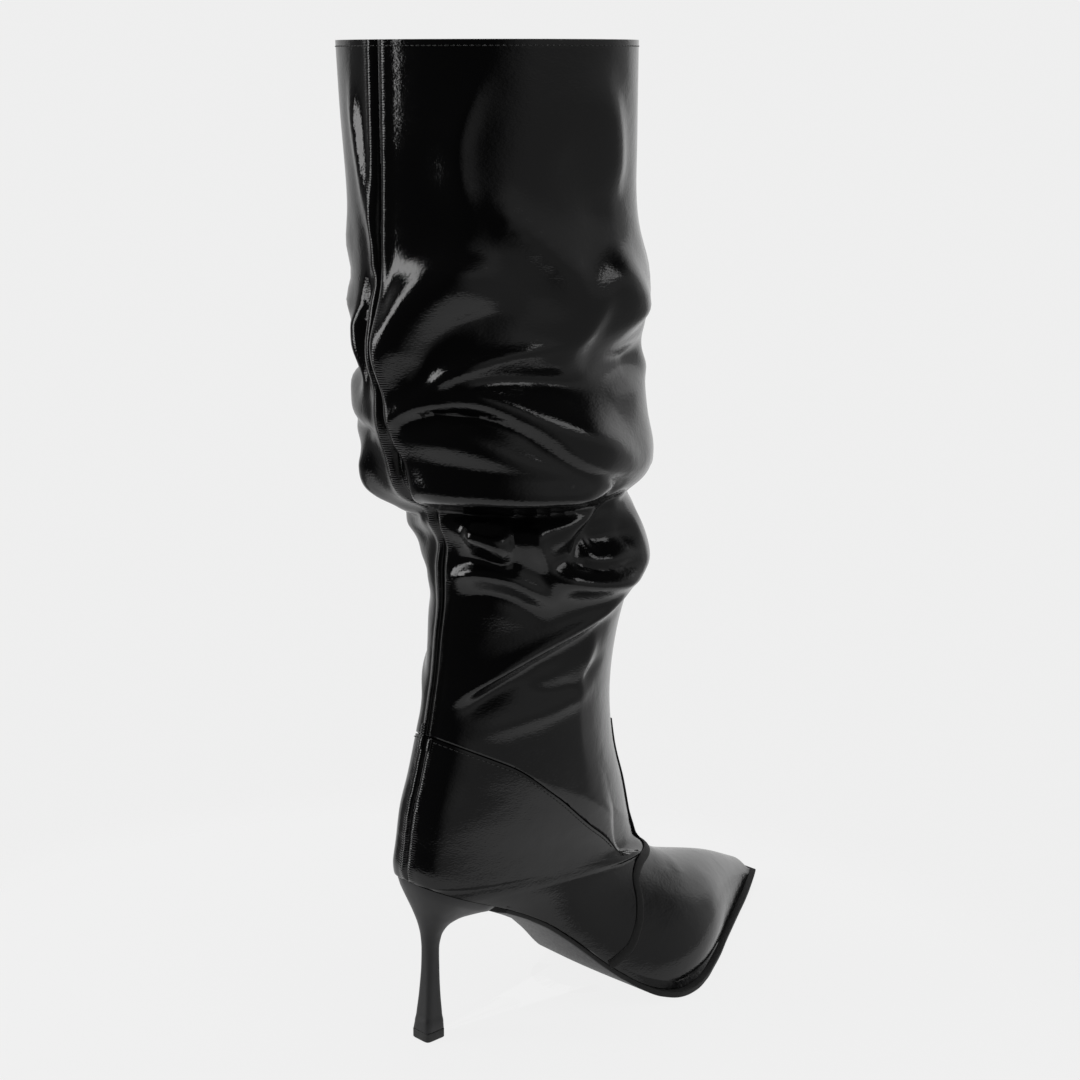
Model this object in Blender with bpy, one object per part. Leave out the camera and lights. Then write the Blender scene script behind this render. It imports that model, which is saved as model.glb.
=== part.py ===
# Slouchy knee-high boot in patent faux leather, with a stiletto heel and a snipped pointed toe.
# It is the right boot of a pair. X runs to the toe, Y to the inner side of the leg, Z up, in metres.
# The origin is the middle of the heel tip, on the floor.

import math

import bmesh
import bpy
import numpy as np

# Sizes of the foot
FOOT_LENGTH = 0.265
BALL_WIDTH = 0.082
HEEL_HEIGHT = 0.0812
INSTEP_HEIGHT = 0.060
SEAT_OVERHANG = 0.012
SEAT_RADIUS = 0.0215
SEAT_LENGTH = 0.042
SEAT_SLOPE = 0.45
TOE_SPRING = 0.0052
CREST_LEAN = 0.0326

# Sizes of the leg
QUARTER_RISE = 0.0668
SHAFT_RISE = 0.309
SHAFT_LENGTH = 0.126
SHAFT_WIDTH = 0.137
FOLD_DEPTH = 0.010
FOLD_HEIGHT = 0.012

# Thicknesses and clearances
UPPER_WALL = 0.0014
SHAFT_WALL = 0.0013
FIT_GAP = 0.0003
LAP_GAP = 0.0006
PIPING_GAP = 0.0012
TREAD_THICKNESS = 0.0034
WAIST_THICKNESS = 0.0022
WAIST_CROWN = 0.0030
SOLE_OVERHANG = 0.0018
SOLE_ROUND = 0.0008
INSOLE_THICKNESS = 0.0018
INSOLE_CLEARANCE = 0.0014
PIPING_WIDTH = 0.0036
PIPING_THICKNESS = 0.0009
SEAM_DEPTH = 0.0011
SEAM_WIDTH = 0.0022

# Sizes of the heel
TIP_SIZE = 0.0113
TIP_THICKNESS = 0.0045
HEEL_WAIST = 0.0072
STEM_LEAN = 0.0012
TIP_BLUNTNESS = 9.0
SEAT_BLUNTNESS = 4.5
ROUNDER_BACK = 0.6

# Derived places
TREAD_TOP = TREAD_THICKNESS + FIT_GAP
QUARTER_TOP = HEEL_HEIGHT + QUARTER_RISE
RIM_TOP = QUARTER_TOP + SHAFT_RISE
SEAT_CENTRE = SEAT_RADIUS - SEAT_OVERHANG
BREAST = SEAT_LENGTH / FOOT_LENGTH
TREAD_START = 0.530
TREAD_END = 0.740
WAIST_END = 0.33
WAIST_BLEND = 0.12
LEAN_START = 0.60
LEAN_SPAN = 0.62

# Edge of the sole from above: station along the foot as a share of its length, then the middle line
# and the half width as shares of the ball width
OUTLINE = (
    (BREAST, -0.012, 0.254),
    (0.215, -0.023, 0.244),
    (0.264, -0.043, 0.256),
    (0.302, -0.072, 0.279),
    (0.340, -0.105, 0.307),
    (0.377, -0.128, 0.353),
    (0.415, -0.140, 0.402),
    (0.453, -0.146, 0.454),
    (0.491, -0.144, 0.492),
    (0.536, -0.122, 0.500),
    (0.585, -0.087, 0.480),
    (0.630, -0.051, 0.444),
    (0.687, -0.010, 0.388),
    (0.743, 0.032, 0.324),
    (0.800, 0.071, 0.261),
    (0.857, 0.107, 0.198),
    (0.913, 0.140, 0.137),
    (0.958, 0.170, 0.086),
    (1.000, 0.199, 0.036),
)

# Arch of the sole from the side, in front of the seat: station, and rise over the tread as a share
# of the heel height
ARCH = (
    (0.211, 0.632),
    (0.257, 0.539),
    (0.294, 0.441),
    (0.325, 0.346),
    (0.355, 0.250),
    (0.385, 0.164),
    (0.415, 0.094),
    (0.445, 0.043),
    (0.483, 0.011),
    (TREAD_START, 0.0),
    (TREAD_END, 0.0),
)

# Sections of the foot, fanned from the toe to the back of the seat. Each runs from the sole's edge at
# one station up to the crest at another: bottom station, crest station, crest height as a share of the
# instep height, breadth as a share of the sole's half width there, bluntness of the curve
FOOT_SECTIONS = (
    (1.000, 1.0015, 0.153, 1.00, 2.0),
    (0.994, 1.0015, 0.205, 1.02, 2.1),
    (0.966, 0.976, 0.262, 1.04, 2.2),
    (0.921, 0.925, 0.372, 1.035, 2.2),
    (0.853, 0.864, 0.503, 1.04, 2.1),
    (0.770, 0.802, 0.608, 1.04, 2.05),
    (0.672, 0.743, 0.692, 1.04, 2.0),
    (0.566, 0.692, 0.765, 1.035, 2.0),
    (0.453, 0.653, 0.833, 1.07, 2.0),
    (0.340, 0.625, 0.893, 1.22, 2.0),
    (0.226, 0.608, 0.938, 1.28, 2.1),
    (0.136, 0.597, 0.970, 1.18, 2.5),
    (0.081, 0.591, 0.992, 1.14, 3.4),
    (0.0404, 0.585, 1.013, 1.14, 4.2),
    (0.0109, 0.580, 1.037, 1.14, 4.0),
    (0.0, 0.574, 1.067, 1.14, 3.5),
)

# Sections of the counter, closed rings from the seat to the quarter's top: back station, back height
# as a share of the quarter's rise, front station, front height as a share of the way from the instep
# to the rim, half width as a share of the seat's radius, bluntness at the back and at the front
COUNTER_SECTIONS = (
    (-0.006, 0.102, 0.570, 0.015, 1.144, 3.2, 1.9),
    (-0.001, 0.251, 0.566, 0.021, 1.163, 3.0, 1.9),
    (0.008, 0.476, 0.562, 0.028, 1.233, 2.8, 1.85),
    (0.027, 0.731, 0.558, 0.034, 1.326, 2.5, 1.8),
    (0.045, 1.000, 0.551, 0.045, 1.419, 2.3, 1.8),
)

# Sections of the shaft: back place as a share of the shaft's length behind or before the seat's back,
# back height as a share of the shaft's rise over the quarter, front place, front height as a share of
# the way from the instep to the rim, width as a share of the shaft's width, bluntness back and front
SHAFT_SECTIONS = (
    (0.117, 0.042, 1.119, 0.093, 0.445, 2.2, 1.8),
    (0.139, 0.091, 1.060, 0.151, 0.445, 2.1, 1.8),
    (0.155, 0.152, 1.028, 0.222, 0.475, 2.0, 1.85),
    (0.171, 0.214, 1.024, 0.297, 0.570, 2.0, 1.9),
    (0.167, 0.272, 1.032, 0.373, 0.672, 2.0, 2.0),
    (0.095, 0.346, 1.024, 0.448, 0.760, 2.0, 2.0),
    (-0.016, 0.421, 1.032, 0.524, 0.818, 2.0, 2.0),
    (-0.103, 0.498, 1.040, 0.597, 0.832, 2.0, 2.0),
    (-0.127, 0.589, 1.040, 0.675, 0.818, 2.0, 2.0),
    (-0.115, 0.693, 1.000, 0.761, 0.847, 2.0, 2.0),
    (-0.115, 0.803, 0.937, 0.846, 0.905, 2.0, 2.0),
    (-0.119, 0.906, 0.897, 0.927, 0.964, 2.0, 2.0),
    (-0.123, 1.000, 0.877, 1.000, 1.000, 2.0, 2.0),
)

# Folds of the slouched shaft. Degrees round the leg from the back seam, positive on the outer side;
# height as a share of the shaft's rise; half reach in degrees; climb as a share of the rise per
# quarter turn; depth and half height as shares of the fold's sizes; sag as a share of its depth
FOLDS = (
    (95, 0.770, 42, -0.02, -0.30, 1.80, 0.0),
    (112, 0.655, 40, 0.02, 0.50, 1.50, 0.3),
    (112, 0.540, 36, 0.02, -0.55, 0.75, 0.0),
    (60, 0.525, 34, -0.05, -0.50, 0.75, 0.0),
    (84, 0.440, 62, -0.04, 0.80, 1.20, 0.9),
    (30, 0.340, 75, -0.02, -0.75, 0.60, 0.0),
    (140, 0.345, 60, 0.00, -0.70, 0.60, 0.0),
    (84, 0.290, 26, 0.10, -0.75, 0.60, 0.0),
    (118, 0.255, 42, 0.02, 0.75, 1.00, 0.6),
    (70, 0.140, 62, 0.13, 0.35, 0.75, 0.3),
    (60, 0.085, 50, 0.13, -0.25, 0.70, 0.0),
    (-28, 0.385, 34, 0.02, 0.85, 1.35, 0.7),
    (-20, 0.295, 40, 0.00, -0.35, 0.70, 0.0),
    (-50, 0.560, 42, -0.06, -0.70, 0.70, 0.0),
    (-75, 0.490, 55, -0.04, 0.70, 1.00, 0.8),
    (-100, 0.400, 48, 0.03, -0.75, 0.65, 0.0),
    (-105, 0.325, 52, 0.00, 0.70, 1.00, 0.7),
    (-85, 0.240, 55, -0.06, -0.60, 0.70, 0.0),
    (-110, 0.160, 55, -0.10, 0.40, 0.90, 0.3),
    (-120, 0.700, 45, 0.04, 0.40, 1.60, 0.2),
    (175, 0.430, 34, 0.00, 0.50, 1.10, 0.6),
    (175, 0.600, 34, 0.00, -0.40, 0.90, 0.0),
    (178, 0.235, 30, 0.00, -0.45, 0.80, 0.0),
)

# Top edge of the upper over the shaft: share of the way from the back seam to the front, section
# that it follows there, and how many sections the shaft reaches down inside it
TOP_EDGE = (
    (0.00, 20.0, 0.45),
    (0.30, 20.0, 0.45),
    (0.45, 19.5, 0.50),
    (0.58, 18.3, 0.90),
    (0.66, 14.0, 2.40),
    (0.73, 11.7, 2.40),
    (0.82, 11.8, 2.40),
    (1.00, 13.4, 3.20),
)

# Piping along the vamp's edge: share of the way from the sole's edge to the throat, and section
PIPING_PATH = (
    (0.02, 8.80),
    (0.12, 8.81),
    (0.26, 8.96),
    (0.39, 9.29),
    (0.52, 9.95),
    (0.66, 10.75),
    (0.80, 11.20),
    (1.00, 12.55),
)

# Sections of the heel from the tip up: height as a share of the seat's middle height, flare of the
# stem towards the tip, spread of the cup towards the seat, bluntness, tilt as a share of the seat's
HEEL_SECTIONS = (
    (0.175, 0.62, 0.00, 6.0, 0.0),
    (0.310, 0.28, 0.00, 5.0, 0.0),
    (0.480, 0.05, 0.00, 4.0, 0.0),
    (0.620, 0.00, 0.01, 3.0, 0.0),
    (0.710, 0.00, 0.06, 2.6, 0.08),
    (0.785, 0.00, 0.19, 2.3, 0.3),
    (0.850, 0.00, 0.40, 2.45, 0.6),
    (0.905, 0.00, 0.64, 3.2, 0.85),
    (0.955, 0.00, 0.88, 4.0, 1.0),
)

SEAT_ROW = len(FOOT_SECTIONS) - 1
QUARTER_ROW = SEAT_ROW + len(COUNTER_SECTIONS)
RIM_ROW = QUARTER_ROW + len(SHAFT_SECTIONS)
TUCK_ROW = QUARTER_ROW + 2.5
TUCK_FADE = 1.6
PIPING_FOOT = QUARTER_ROW - 4.6
PIPING_HEAD = QUARTER_ROW + 2.4
VAMP_ROW = 8.0

# Fineness of the faces
SHAFT_ROWS = [*np.linspace(0.0, 0.24, 12), *np.linspace(0.27, 0.72, 16), *np.linspace(0.79, 1.0, 4)]
TOE_ROWS = [*np.linspace(0, 6, 8)[:-1], *np.linspace(6, 11, 12)[:-1], *np.linspace(11, SEAT_ROW, 7)]
QUARTER_ROWS = 5
SEAM_SHARES = [0.0, 0.010, 0.024, 0.052]
ROUND_SHARES = [*np.linspace(0.105, 0.54, 7), *np.linspace(0.58, 0.76, 7), *np.linspace(0.82, 1.0, 4)]
WAIST_RINGS = 17
TREAD_RINGS = 15
SOLE_COLUMNS = 7
INSOLE_RINGS = 25
INSOLE_COLUMNS = 5
SEAT_RINGS = 6
HEEL_SIDES = 28
PIPING_RINGS = 20
SHARP_ANGLE = math.radians(40)

# Shapes of the curves
TOE_CURVE = 1.8
SEAT_TURN = 82.0
INSOLE_END = 0.955
FOLD_STEEPNESS = 1.2
FOLD_START = 0.6
FOLD_FADE = 2.0
PIPING_TAPER = 0.6
NORMAL_STEP = 0.004
SLIGHT = 1e-6
EDGE_EASE = 1.0005


def clear_scene():
    for obj in list(bpy.data.objects):
        bpy.data.objects.remove(obj, do_unlink=True)


def make_material(name, colour, roughness, coat=0.0):
    material = bpy.data.materials.new(name)
    material.use_nodes = True
    shader = material.node_tree.nodes["Principled BSDF"]
    shader.inputs["Base Color"].default_value = (*colour, 1.0)
    shader.inputs["Roughness"].default_value = roughness
    shader.inputs["Metallic"].default_value = 0.0
    shader.inputs["Coat Weight"].default_value = coat
    return material


def column(table, index):
    return np.array([row[index] for row in table], float)


def through(x, places, values):
    """Smooth curve through a table's points that never overshoots them, flat beyond its ends."""
    places = np.asarray(places, float)
    values = np.asarray(values, float)
    steps = np.diff(places)
    slopes = np.diff(values) / steps
    before = slopes[:-1]
    after = slopes[1:]
    tangents = np.zeros_like(values)
    same_way = before * after > 0
    shares = (2 * steps[1:] + steps[:-1]) / (3 * (steps[1:] + steps[:-1]))
    blend = shares * np.where(same_way, after, 1.0) + (1 - shares) * np.where(same_way, before, 1.0)
    tangents[1:-1] = np.where(same_way, before * after / blend, 0.0)
    tangents[0] = slopes[0]
    tangents[-1] = slopes[-1]
    x = np.clip(np.asarray(x, float), places[0], places[-1])
    k = np.clip(np.searchsorted(places, x, side="right") - 1, 0, len(steps) - 1)
    u = (x - places[k]) / steps[k]
    rise = u * u * (3 - 2 * u)
    lift = tangents[k] * (u**3 - 2 * u**2 + u) + tangents[k + 1] * (u**3 - u**2)
    return values[k] * (1 - rise) + values[k + 1] * rise + steps[k] * lift


def soft_step(u):
    u = np.clip(u, 0.0, 1.0)
    return u * u * (3 - 2 * u)


def place(station):
    return station * FOOT_LENGTH - SEAT_OVERHANG


def station_of(x):
    return (x + SEAT_OVERHANG) / FOOT_LENGTH


def half_width(x, inset=0.0):
    """Half width of the sole's edge line: a round seat, then the outline."""
    stations = np.concatenate([[SEAT_RADIUS / FOOT_LENGTH], column(OUTLINE, 0)])
    widths = np.concatenate([[SEAT_RADIUS / BALL_WIDTH], column(OUTLINE, 2)])
    width = BALL_WIDTH * through(station_of(x), stations, widths) - inset
    seat = np.sqrt(np.maximum((SEAT_RADIUS - inset) ** 2 - (SEAT_CENTRE - x) ** 2, 0.0))
    return np.where(x < SEAT_CENTRE, seat, width)


def middle(x):
    stations = np.concatenate([[SEAT_RADIUS / FOOT_LENGTH], column(OUTLINE, 0)])
    lines = np.concatenate([[0.0], column(OUTLINE, 1)])
    return BALL_WIDTH * through(station_of(x), stations, lines)


def sole_line(x):
    """Height of the upper's bottom edge: a sloping flat seat, the arch, the tread and the toe's rise."""
    station = station_of(x)
    seat = HEEL_HEIGHT - SEAT_SLOPE * (x + SEAT_OVERHANG)
    at_breast = (HEEL_HEIGHT - SEAT_SLOPE * SEAT_LENGTH - TREAD_TOP) / HEEL_HEIGHT
    stations = np.concatenate([[BREAST], column(ARCH, 0)])
    rises = np.concatenate([[at_breast], column(ARCH, 1)])
    toe = np.maximum((station - TREAD_END) / (1 - TREAD_END), 0.0)
    arch = TREAD_TOP + HEEL_HEIGHT * through(station, stations, rises) + TOE_SPRING * toe**TOE_CURVE
    return np.where(station < BREAST, seat, arch)


def section_rows():
    """Each section as back x, back z, front x, front z, half width, bluntness at back and front."""
    rows = []
    leg_rise = RIM_TOP - INSTEP_HEIGHT
    for bottom, crest, rise, breadth, bluntness in FOOT_SECTIONS:
        x = place(bottom)
        width = SEAT_RADIUS if x < SEAT_CENTRE + FIT_GAP else float(half_width(x))
        rows.append((x, float(sole_line(x)), place(crest), rise * INSTEP_HEIGHT, width * breadth, bluntness, 2.0))
    for back, back_rise, front, front_rise, width, blunt_back, blunt_front in COUNTER_SECTIONS:
        back_z = HEEL_HEIGHT + back_rise * QUARTER_RISE
        front_z = INSTEP_HEIGHT + front_rise * leg_rise
        rows.append((place(back), back_z, place(front), front_z, width * SEAT_RADIUS, blunt_back, blunt_front))
    for back, back_rise, front, front_rise, width, blunt_back, blunt_front in SHAFT_SECTIONS:
        back_x = back * SHAFT_LENGTH - SEAT_OVERHANG
        front_x = front * SHAFT_LENGTH - SEAT_OVERHANG
        back_z = QUARTER_TOP + back_rise * SHAFT_RISE
        front_z = INSTEP_HEIGHT + front_rise * leg_rise
        rows.append((back_x, back_z, front_x, front_z, width * SHAFT_WIDTH / 2, blunt_back, blunt_front))
    return np.array(rows)


ROWS = section_rows()


def blunt_circle(angle, bluntness):
    return (np.abs(np.cos(angle)) ** bluntness + np.abs(np.sin(angle)) ** bluntness) ** (-1 / bluntness)


def skin(section, side, share):
    """Point of the boot's outer form. Share runs from the sole's edge or back seam to the front."""
    section = np.asarray(section, float)
    share = np.asarray(share, float)
    numbers = np.arange(len(ROWS))
    back_x, back_z, front_x, front_z, half, blunt_back, blunt_front = (
        through(section, numbers, ROWS[:, k]) for k in range(ROWS.shape[1])
    )
    on_sole = section <= SEAT_ROW
    back_z = np.where(on_sole, sole_line(back_x), back_z)
    edge = np.where(on_sole, half_width(back_x), 0.0)
    line = np.where(on_sole, middle(back_x), 0.0)
    half = np.maximum(half, edge * EDGE_EASE + SLIGHT)
    across = edge / half
    start = np.arctan2(across, (1 - across**blunt_back) ** (1 / blunt_back))
    angle = start + (math.pi - start) * share
    radius = blunt_circle(angle, blunt_back + (blunt_front - blunt_back) * soft_step(angle / math.pi))
    first = blunt_circle(start, blunt_back + (blunt_front - blunt_back) * soft_step(start / math.pi))
    reach = np.cos(start) * first
    along = (reach - np.cos(angle) * radius) / (1 + reach)
    to_edge = edge / np.maximum(half * np.sin(start) * first, SLIGHT**2)
    mend = np.where(edge > SLIGHT, (to_edge - 1) * (1 - share) ** 2, 0.0)
    out = side * half * np.sin(angle) * radius * (1 + mend)
    lean = CREST_LEAN * soft_step((station_of(front_x) - LEAN_START) / LEAN_SPAN)
    y = line + (lean - line) * along + out
    return np.stack([back_x + (front_x - back_x) * along, y, back_z + (front_z - back_z) * along], axis=-1)


def outward(section, side, share):
    """Unit normal of the form, pointing out."""
    step = NORMAL_STEP
    low = np.maximum(np.asarray(share, float) - step, 0.0)
    high = np.minimum(np.asarray(share, float) + step, 1.0)
    above = skin(np.minimum(section + step, RIM_ROW), side, share)
    below = skin(np.maximum(section - step, 0), side, share)
    along = above - below
    around = skin(section, side, high) - skin(section, side, low)
    normal = np.cross(along, around) * side
    return normal / np.maximum(np.linalg.norm(normal, axis=-1, keepdims=True), 1e-12)


def edge_section(share):
    return through(share, column(TOP_EDGE, 0), column(TOP_EDGE, 1))


def edge_lap(share):
    return through(share, column(TOP_EDGE, 0), column(TOP_EDGE, 2))


def fold_shift(section, side, share, points):
    """How far the folds push the shaft out, and how far they sag."""
    height = (points[..., 2] - QUARTER_TOP) / SHAFT_RISE
    turn = -side * np.asarray(share, float) * 180.0
    out = np.zeros(height.shape)
    sag = np.zeros(height.shape)
    for centre, level, reach, climb, depth, half, drop in FOLDS:
        away = (turn - centre + 180.0) % 360.0 - 180.0
        window = np.exp(-((away / reach) ** 2) * FOLD_STEEPNESS)
        offset = (height - level - climb * away / 90.0) * SHAFT_RISE / (half * FOLD_HEIGHT)
        wave = window * np.exp(-(offset**2))
        out += depth * FOLD_DEPTH * wave
        sag += drop * abs(depth) * FOLD_DEPTH * wave
    fade = soft_step((section - QUARTER_ROW - FOLD_START) / FOLD_FADE)
    fade = fade * soft_step((RIM_ROW - section) / FOLD_FADE)
    return out * fade, sag * fade


def shaft_point(section, side, share):
    """Point of the shaft's outer face: the form, tucked under the upper below, folded above."""
    points = skin(section, side, share)
    normal = outward(section, side, share)
    above = (section - edge_section(share)) / (TUCK_FADE * edge_lap(share))
    tuck = (UPPER_WALL + LAP_GAP) * (1 - soft_step(above))
    out, sag = fold_shift(section, side, share, points)
    around = np.asarray(share, float) * SHAFT_LENGTH * math.pi / 2
    groove = SEAM_DEPTH * np.exp(-((around / SEAM_WIDTH) ** 2)) * soft_step(above)
    level = normal * np.array([1.0, 1.0, 0.0])
    moved = points + level * out[..., None] - normal * (tuck + groove)[..., None]
    moved[..., 2] -= sag
    return moved


def shell(name, grid, seam_from, wall, material):
    """Hollow body from a grid of points: rows from the bottom up, columns from the outer side's edge
    over the front to the inner side's. The two edges are sewn together from one row on."""
    row_count, column_count = grid.shape[:2]
    mesh = bmesh.new()
    vertices = [[mesh.verts.new(point) for point in row] for row in grid]
    for row in range(seam_from, row_count):
        mesh.verts.remove(vertices[row][-1])
        vertices[row][-1] = vertices[row][0]
    for row in range(row_count - 1):
        for k in range(column_count - 1):
            corners = [*vertices[row][k : k + 2], *reversed(vertices[row + 1][k : k + 2])]
            unique = list(dict.fromkeys(corners))
            mesh.faces.new(unique)
    bmesh.ops.recalc_face_normals(mesh, faces=mesh.faces)
    return finish(name, mesh, material, wall)


def finish(name, mesh, material, wall=0.0):
    data = bpy.data.meshes.new(name)
    mesh.to_mesh(data)
    mesh.free()
    data.shade_smooth()
    data.set_sharp_from_angle(angle=SHARP_ANGLE)
    obj = bpy.data.objects.new(name, data)
    data.materials.append(material)
    bpy.context.scene.collection.objects.link(obj)
    if wall:
        solid = obj.modifiers.new("wall", "SOLIDIFY")
        solid.thickness = wall
        solid.offset = -1.0
    return obj


def loft(name, rings, material):
    """Closed body from rings of points, with a flat face on its first and its last ring."""
    mesh = bmesh.new()
    loops = [[mesh.verts.new(point) for point in ring] for ring in rings]
    count = len(loops[0])
    for lower, upper in zip(loops, loops[1:]):
        for k in range(count):
            following = (k + 1) % count
            mesh.faces.new((lower[k], lower[following], upper[following], upper[k]))
    mesh.faces.new(loops[0])
    mesh.faces.new(loops[-1])
    bmesh.ops.recalc_face_normals(mesh, faces=mesh.faces)
    return finish(name, mesh, material)


def both_sides(shares):
    """Column list from the outer side's edge over the front to the inner side's edge."""
    outer = [(-1, share) for share in shares]
    inner = [(1, share) for share in reversed(shares[:-1])]
    return outer + inner


def make_upper(material):
    shares = [SEAM_SHARES[0], SEAM_SHARES[-1]] + ROUND_SHARES
    numbers = np.array([*TOE_ROWS, *np.linspace(SEAT_ROW, QUARTER_ROW, QUARTER_ROWS + 1)[1:]])
    columns = []
    for side, share in both_sides(shares):
        top = float(edge_section(share))
        above = np.maximum(numbers - VAMP_ROW, 0.0) / (QUARTER_ROW - VAMP_ROW)
        section = np.minimum(numbers, VAMP_ROW) + above * (top - VAMP_ROW)
        columns.append(skin(section, side, np.full_like(section, share)))
    upper = shell("upper", np.stack(columns, axis=1), len(TOE_ROWS) - 1, UPPER_WALL, material)
    trim_to_sole(upper)


def trim_to_sole(obj):
    """Cuts the wall's inner edge level with the sole's line."""
    graph = bpy.context.evaluated_depsgraph_get()
    data = bpy.data.meshes.new_from_object(obj.evaluated_get(graph))
    for vertex in data.vertices:
        if vertex.co.z < QUARTER_TOP:
            vertex.co.z = max(vertex.co.z, float(sole_line(vertex.co.x)))
    obj.modifiers.clear()
    obj.data = data


def shaft_sections(share):
    """Sections of the shaft's rows at one place round the leg, from inside the upper to the rim."""
    first = QUARTER_ROW - float(edge_lap(0.0))
    numbers = first + (RIM_ROW - first) * np.array(SHAFT_ROWS)
    settle = 1 - soft_step((numbers - first) / (TUCK_ROW - first))
    return numbers - (first - float(edge_section(share) - edge_lap(share))) * settle


def make_shaft(material):
    shares = SEAM_SHARES + ROUND_SHARES
    columns = []
    for side, share in both_sides(shares):
        section = shaft_sections(share)
        columns.append(shaft_point(section, side, np.full_like(section, share)))
    return shell("shaft", np.stack(columns, axis=1), 0, SHAFT_WALL, material)


def make_outsole(material):
    """Thin sole from the heel's breast to the toe, with a crowned waist and a flat tread."""
    start = place(BREAST) + FIT_GAP
    tread = place(TREAD_START)
    end = place(1.0) + SOLE_OVERHANG
    waist = np.linspace(start, tread, WAIST_RINGS + 1)[:-1]
    stations = np.concatenate([waist, np.linspace(tread, end, TREAD_RINGS)])
    cross = np.linspace(-1.0, 1.0, SOLE_COLUMNS)
    rings = []
    for x in stations:
        inner = min(x, place(1.0))
        forward = soft_step((station_of(x) - WAIST_END) / WAIST_BLEND)
        width = float(half_width(inner)) + SOLE_OVERHANG * float(forward) - FIT_GAP * (1 - float(forward))
        line = float(middle(inner))
        top = float(sole_line(inner)) - FIT_GAP
        edge = WAIST_THICKNESS + (TREAD_THICKNESS - WAIST_THICKNESS) * float(forward)
        crown = WAIST_CROWN * (1 - float(forward))
        ring = [(x, line + width * y, top) for y in cross]
        for y in reversed(cross):
            bottom = top - edge - crown * (1 - y * y)
            ring.append((x, line + (width - SOLE_ROUND) * y, bottom))
        rings.append(ring)
    return loft("outsole", rings, material)


def make_insole(material):
    """Sock lining board that closes the upper's bottom from inside."""
    inset = UPPER_WALL + INSOLE_CLEARANCE
    turn = np.radians(np.linspace(SEAT_TURN, 0, SEAT_RINGS))
    seat = SEAT_CENTRE - (SEAT_RADIUS - inset) * np.sin(turn)
    waist = np.linspace(SEAT_CENTRE, place(INSOLE_END), INSOLE_RINGS + 1)[1:]
    cross = np.linspace(-1.0, 1.0, INSOLE_COLUMNS)
    rings = []
    for x in np.concatenate([seat, waist]):
        width = float(half_width(x, inset))
        line = float(middle(x))
        low = float(sole_line(x))
        ring = [(x, line + width * y, low) for y in cross]
        ring += [(x, line + width * y, low + INSOLE_THICKNESS) for y in reversed(cross)]
        rings.append(ring)
    return loft("insole", rings, material)


def heel_ring(centre, height, front, back, half, bluntness, tilt):
    ring = []
    for angle in np.linspace(0.0, 2 * math.pi, HEEL_SIDES, endpoint=False):
        length = front if math.cos(angle) > 0 else back
        blunt = bluntness if math.cos(angle) > 0 else 2.0 + (bluntness - 2.0) * ROUNDER_BACK
        radius = float(blunt_circle(angle, blunt))
        along = length * math.cos(angle) * radius
        ring.append((centre + along, half * math.sin(angle) * radius, height - tilt * along))
    return ring


def make_heel(material):
    """Slim stem that flares to the tip below and to a cup under the seat above."""
    seat_middle = HEEL_HEIGHT - SEAT_SLOPE * (SEAT_CENTRE + SEAT_OVERHANG) - FIT_GAP
    bottom = TIP_THICKNESS + FIT_GAP
    waist = HEEL_WAIST / 2
    tip = TIP_SIZE / 2
    seat_front = place(BREAST) - SEAT_CENTRE
    foot = tip - FIT_GAP
    rings = [heel_ring(0.0, bottom, foot, foot, foot, TIP_BLUNTNESS, 0.0)]
    for rise, flare, spread, bluntness, tilt in HEEL_SECTIONS:
        stem = waist + (tip - waist) * flare
        front = stem + (seat_front - stem) * spread
        back = stem + (SEAT_RADIUS - stem) * spread
        centre = SEAT_CENTRE * spread + STEM_LEAN * (1 - spread) * min(rise * 2, 1)
        rings.append(heel_ring(centre, rise * seat_middle, front, back, back, bluntness, tilt * SEAT_SLOPE))
    sizes = (seat_front, SEAT_RADIUS, SEAT_RADIUS, SEAT_BLUNTNESS, SEAT_SLOPE)
    rings.append(heel_ring(SEAT_CENTRE, seat_middle, *sizes))
    return loft("heel", rings, material)


def make_heel_tip(material):
    half = TIP_SIZE / 2
    rings = [heel_ring(0.0, z, half, half, half, TIP_BLUNTNESS, 0.0) for z in (0.0, TIP_THICKNESS)]
    return loft("heel_tip", rings, material)


def strip(name, points, normals, gap, material):
    """Flat band along a path on the skin, a gap over it."""
    along = np.gradient(points, axis=0)
    across = np.cross(along, normals)
    across = across / np.linalg.norm(across, axis=1, keepdims=True) * PIPING_WIDTH / 2
    low = normals * gap
    high = normals * (gap + PIPING_THICKNESS)
    rings = []
    for point, side, under, over in zip(points, across, low, high):
        top = side * PIPING_TAPER
        rings.append([point - side + under, point + side + under, point + top + over, point - top + over])
    return loft(name, rings, material)


def make_vamp_piping(material):
    """Band round the vamp's edge, from the sole up over the throat and down again."""
    path_shares = column(PIPING_PATH, 0)
    sections = column(PIPING_PATH, 1)
    shares = np.linspace(path_shares[0], 1.0, PIPING_RINGS)
    points = []
    normals = []
    for side, share in both_sides(list(shares)):
        section = float(through(share, path_shares, sections))
        points.append(skin(section, side, share))
        normals.append(outward(section, side, share))
    return strip("vamp_piping", np.array(points), np.array(normals), PIPING_GAP, material)


def make_front_piping(material):
    """Band up the front seam of the ankle, over the throat."""
    sections = shaft_sections(1.0)
    sections = sections[(sections > PIPING_FOOT) & (sections < PIPING_HEAD)]
    ones = np.ones_like(sections)
    points = shaft_point(sections, -1, ones)
    normals = outward(sections, -1, ones) * np.array([1.0, 0.0, 1.0])
    normals = normals / np.linalg.norm(normals, axis=1, keepdims=True)
    return strip("front_piping", points, normals, FIT_GAP, material)


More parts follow.
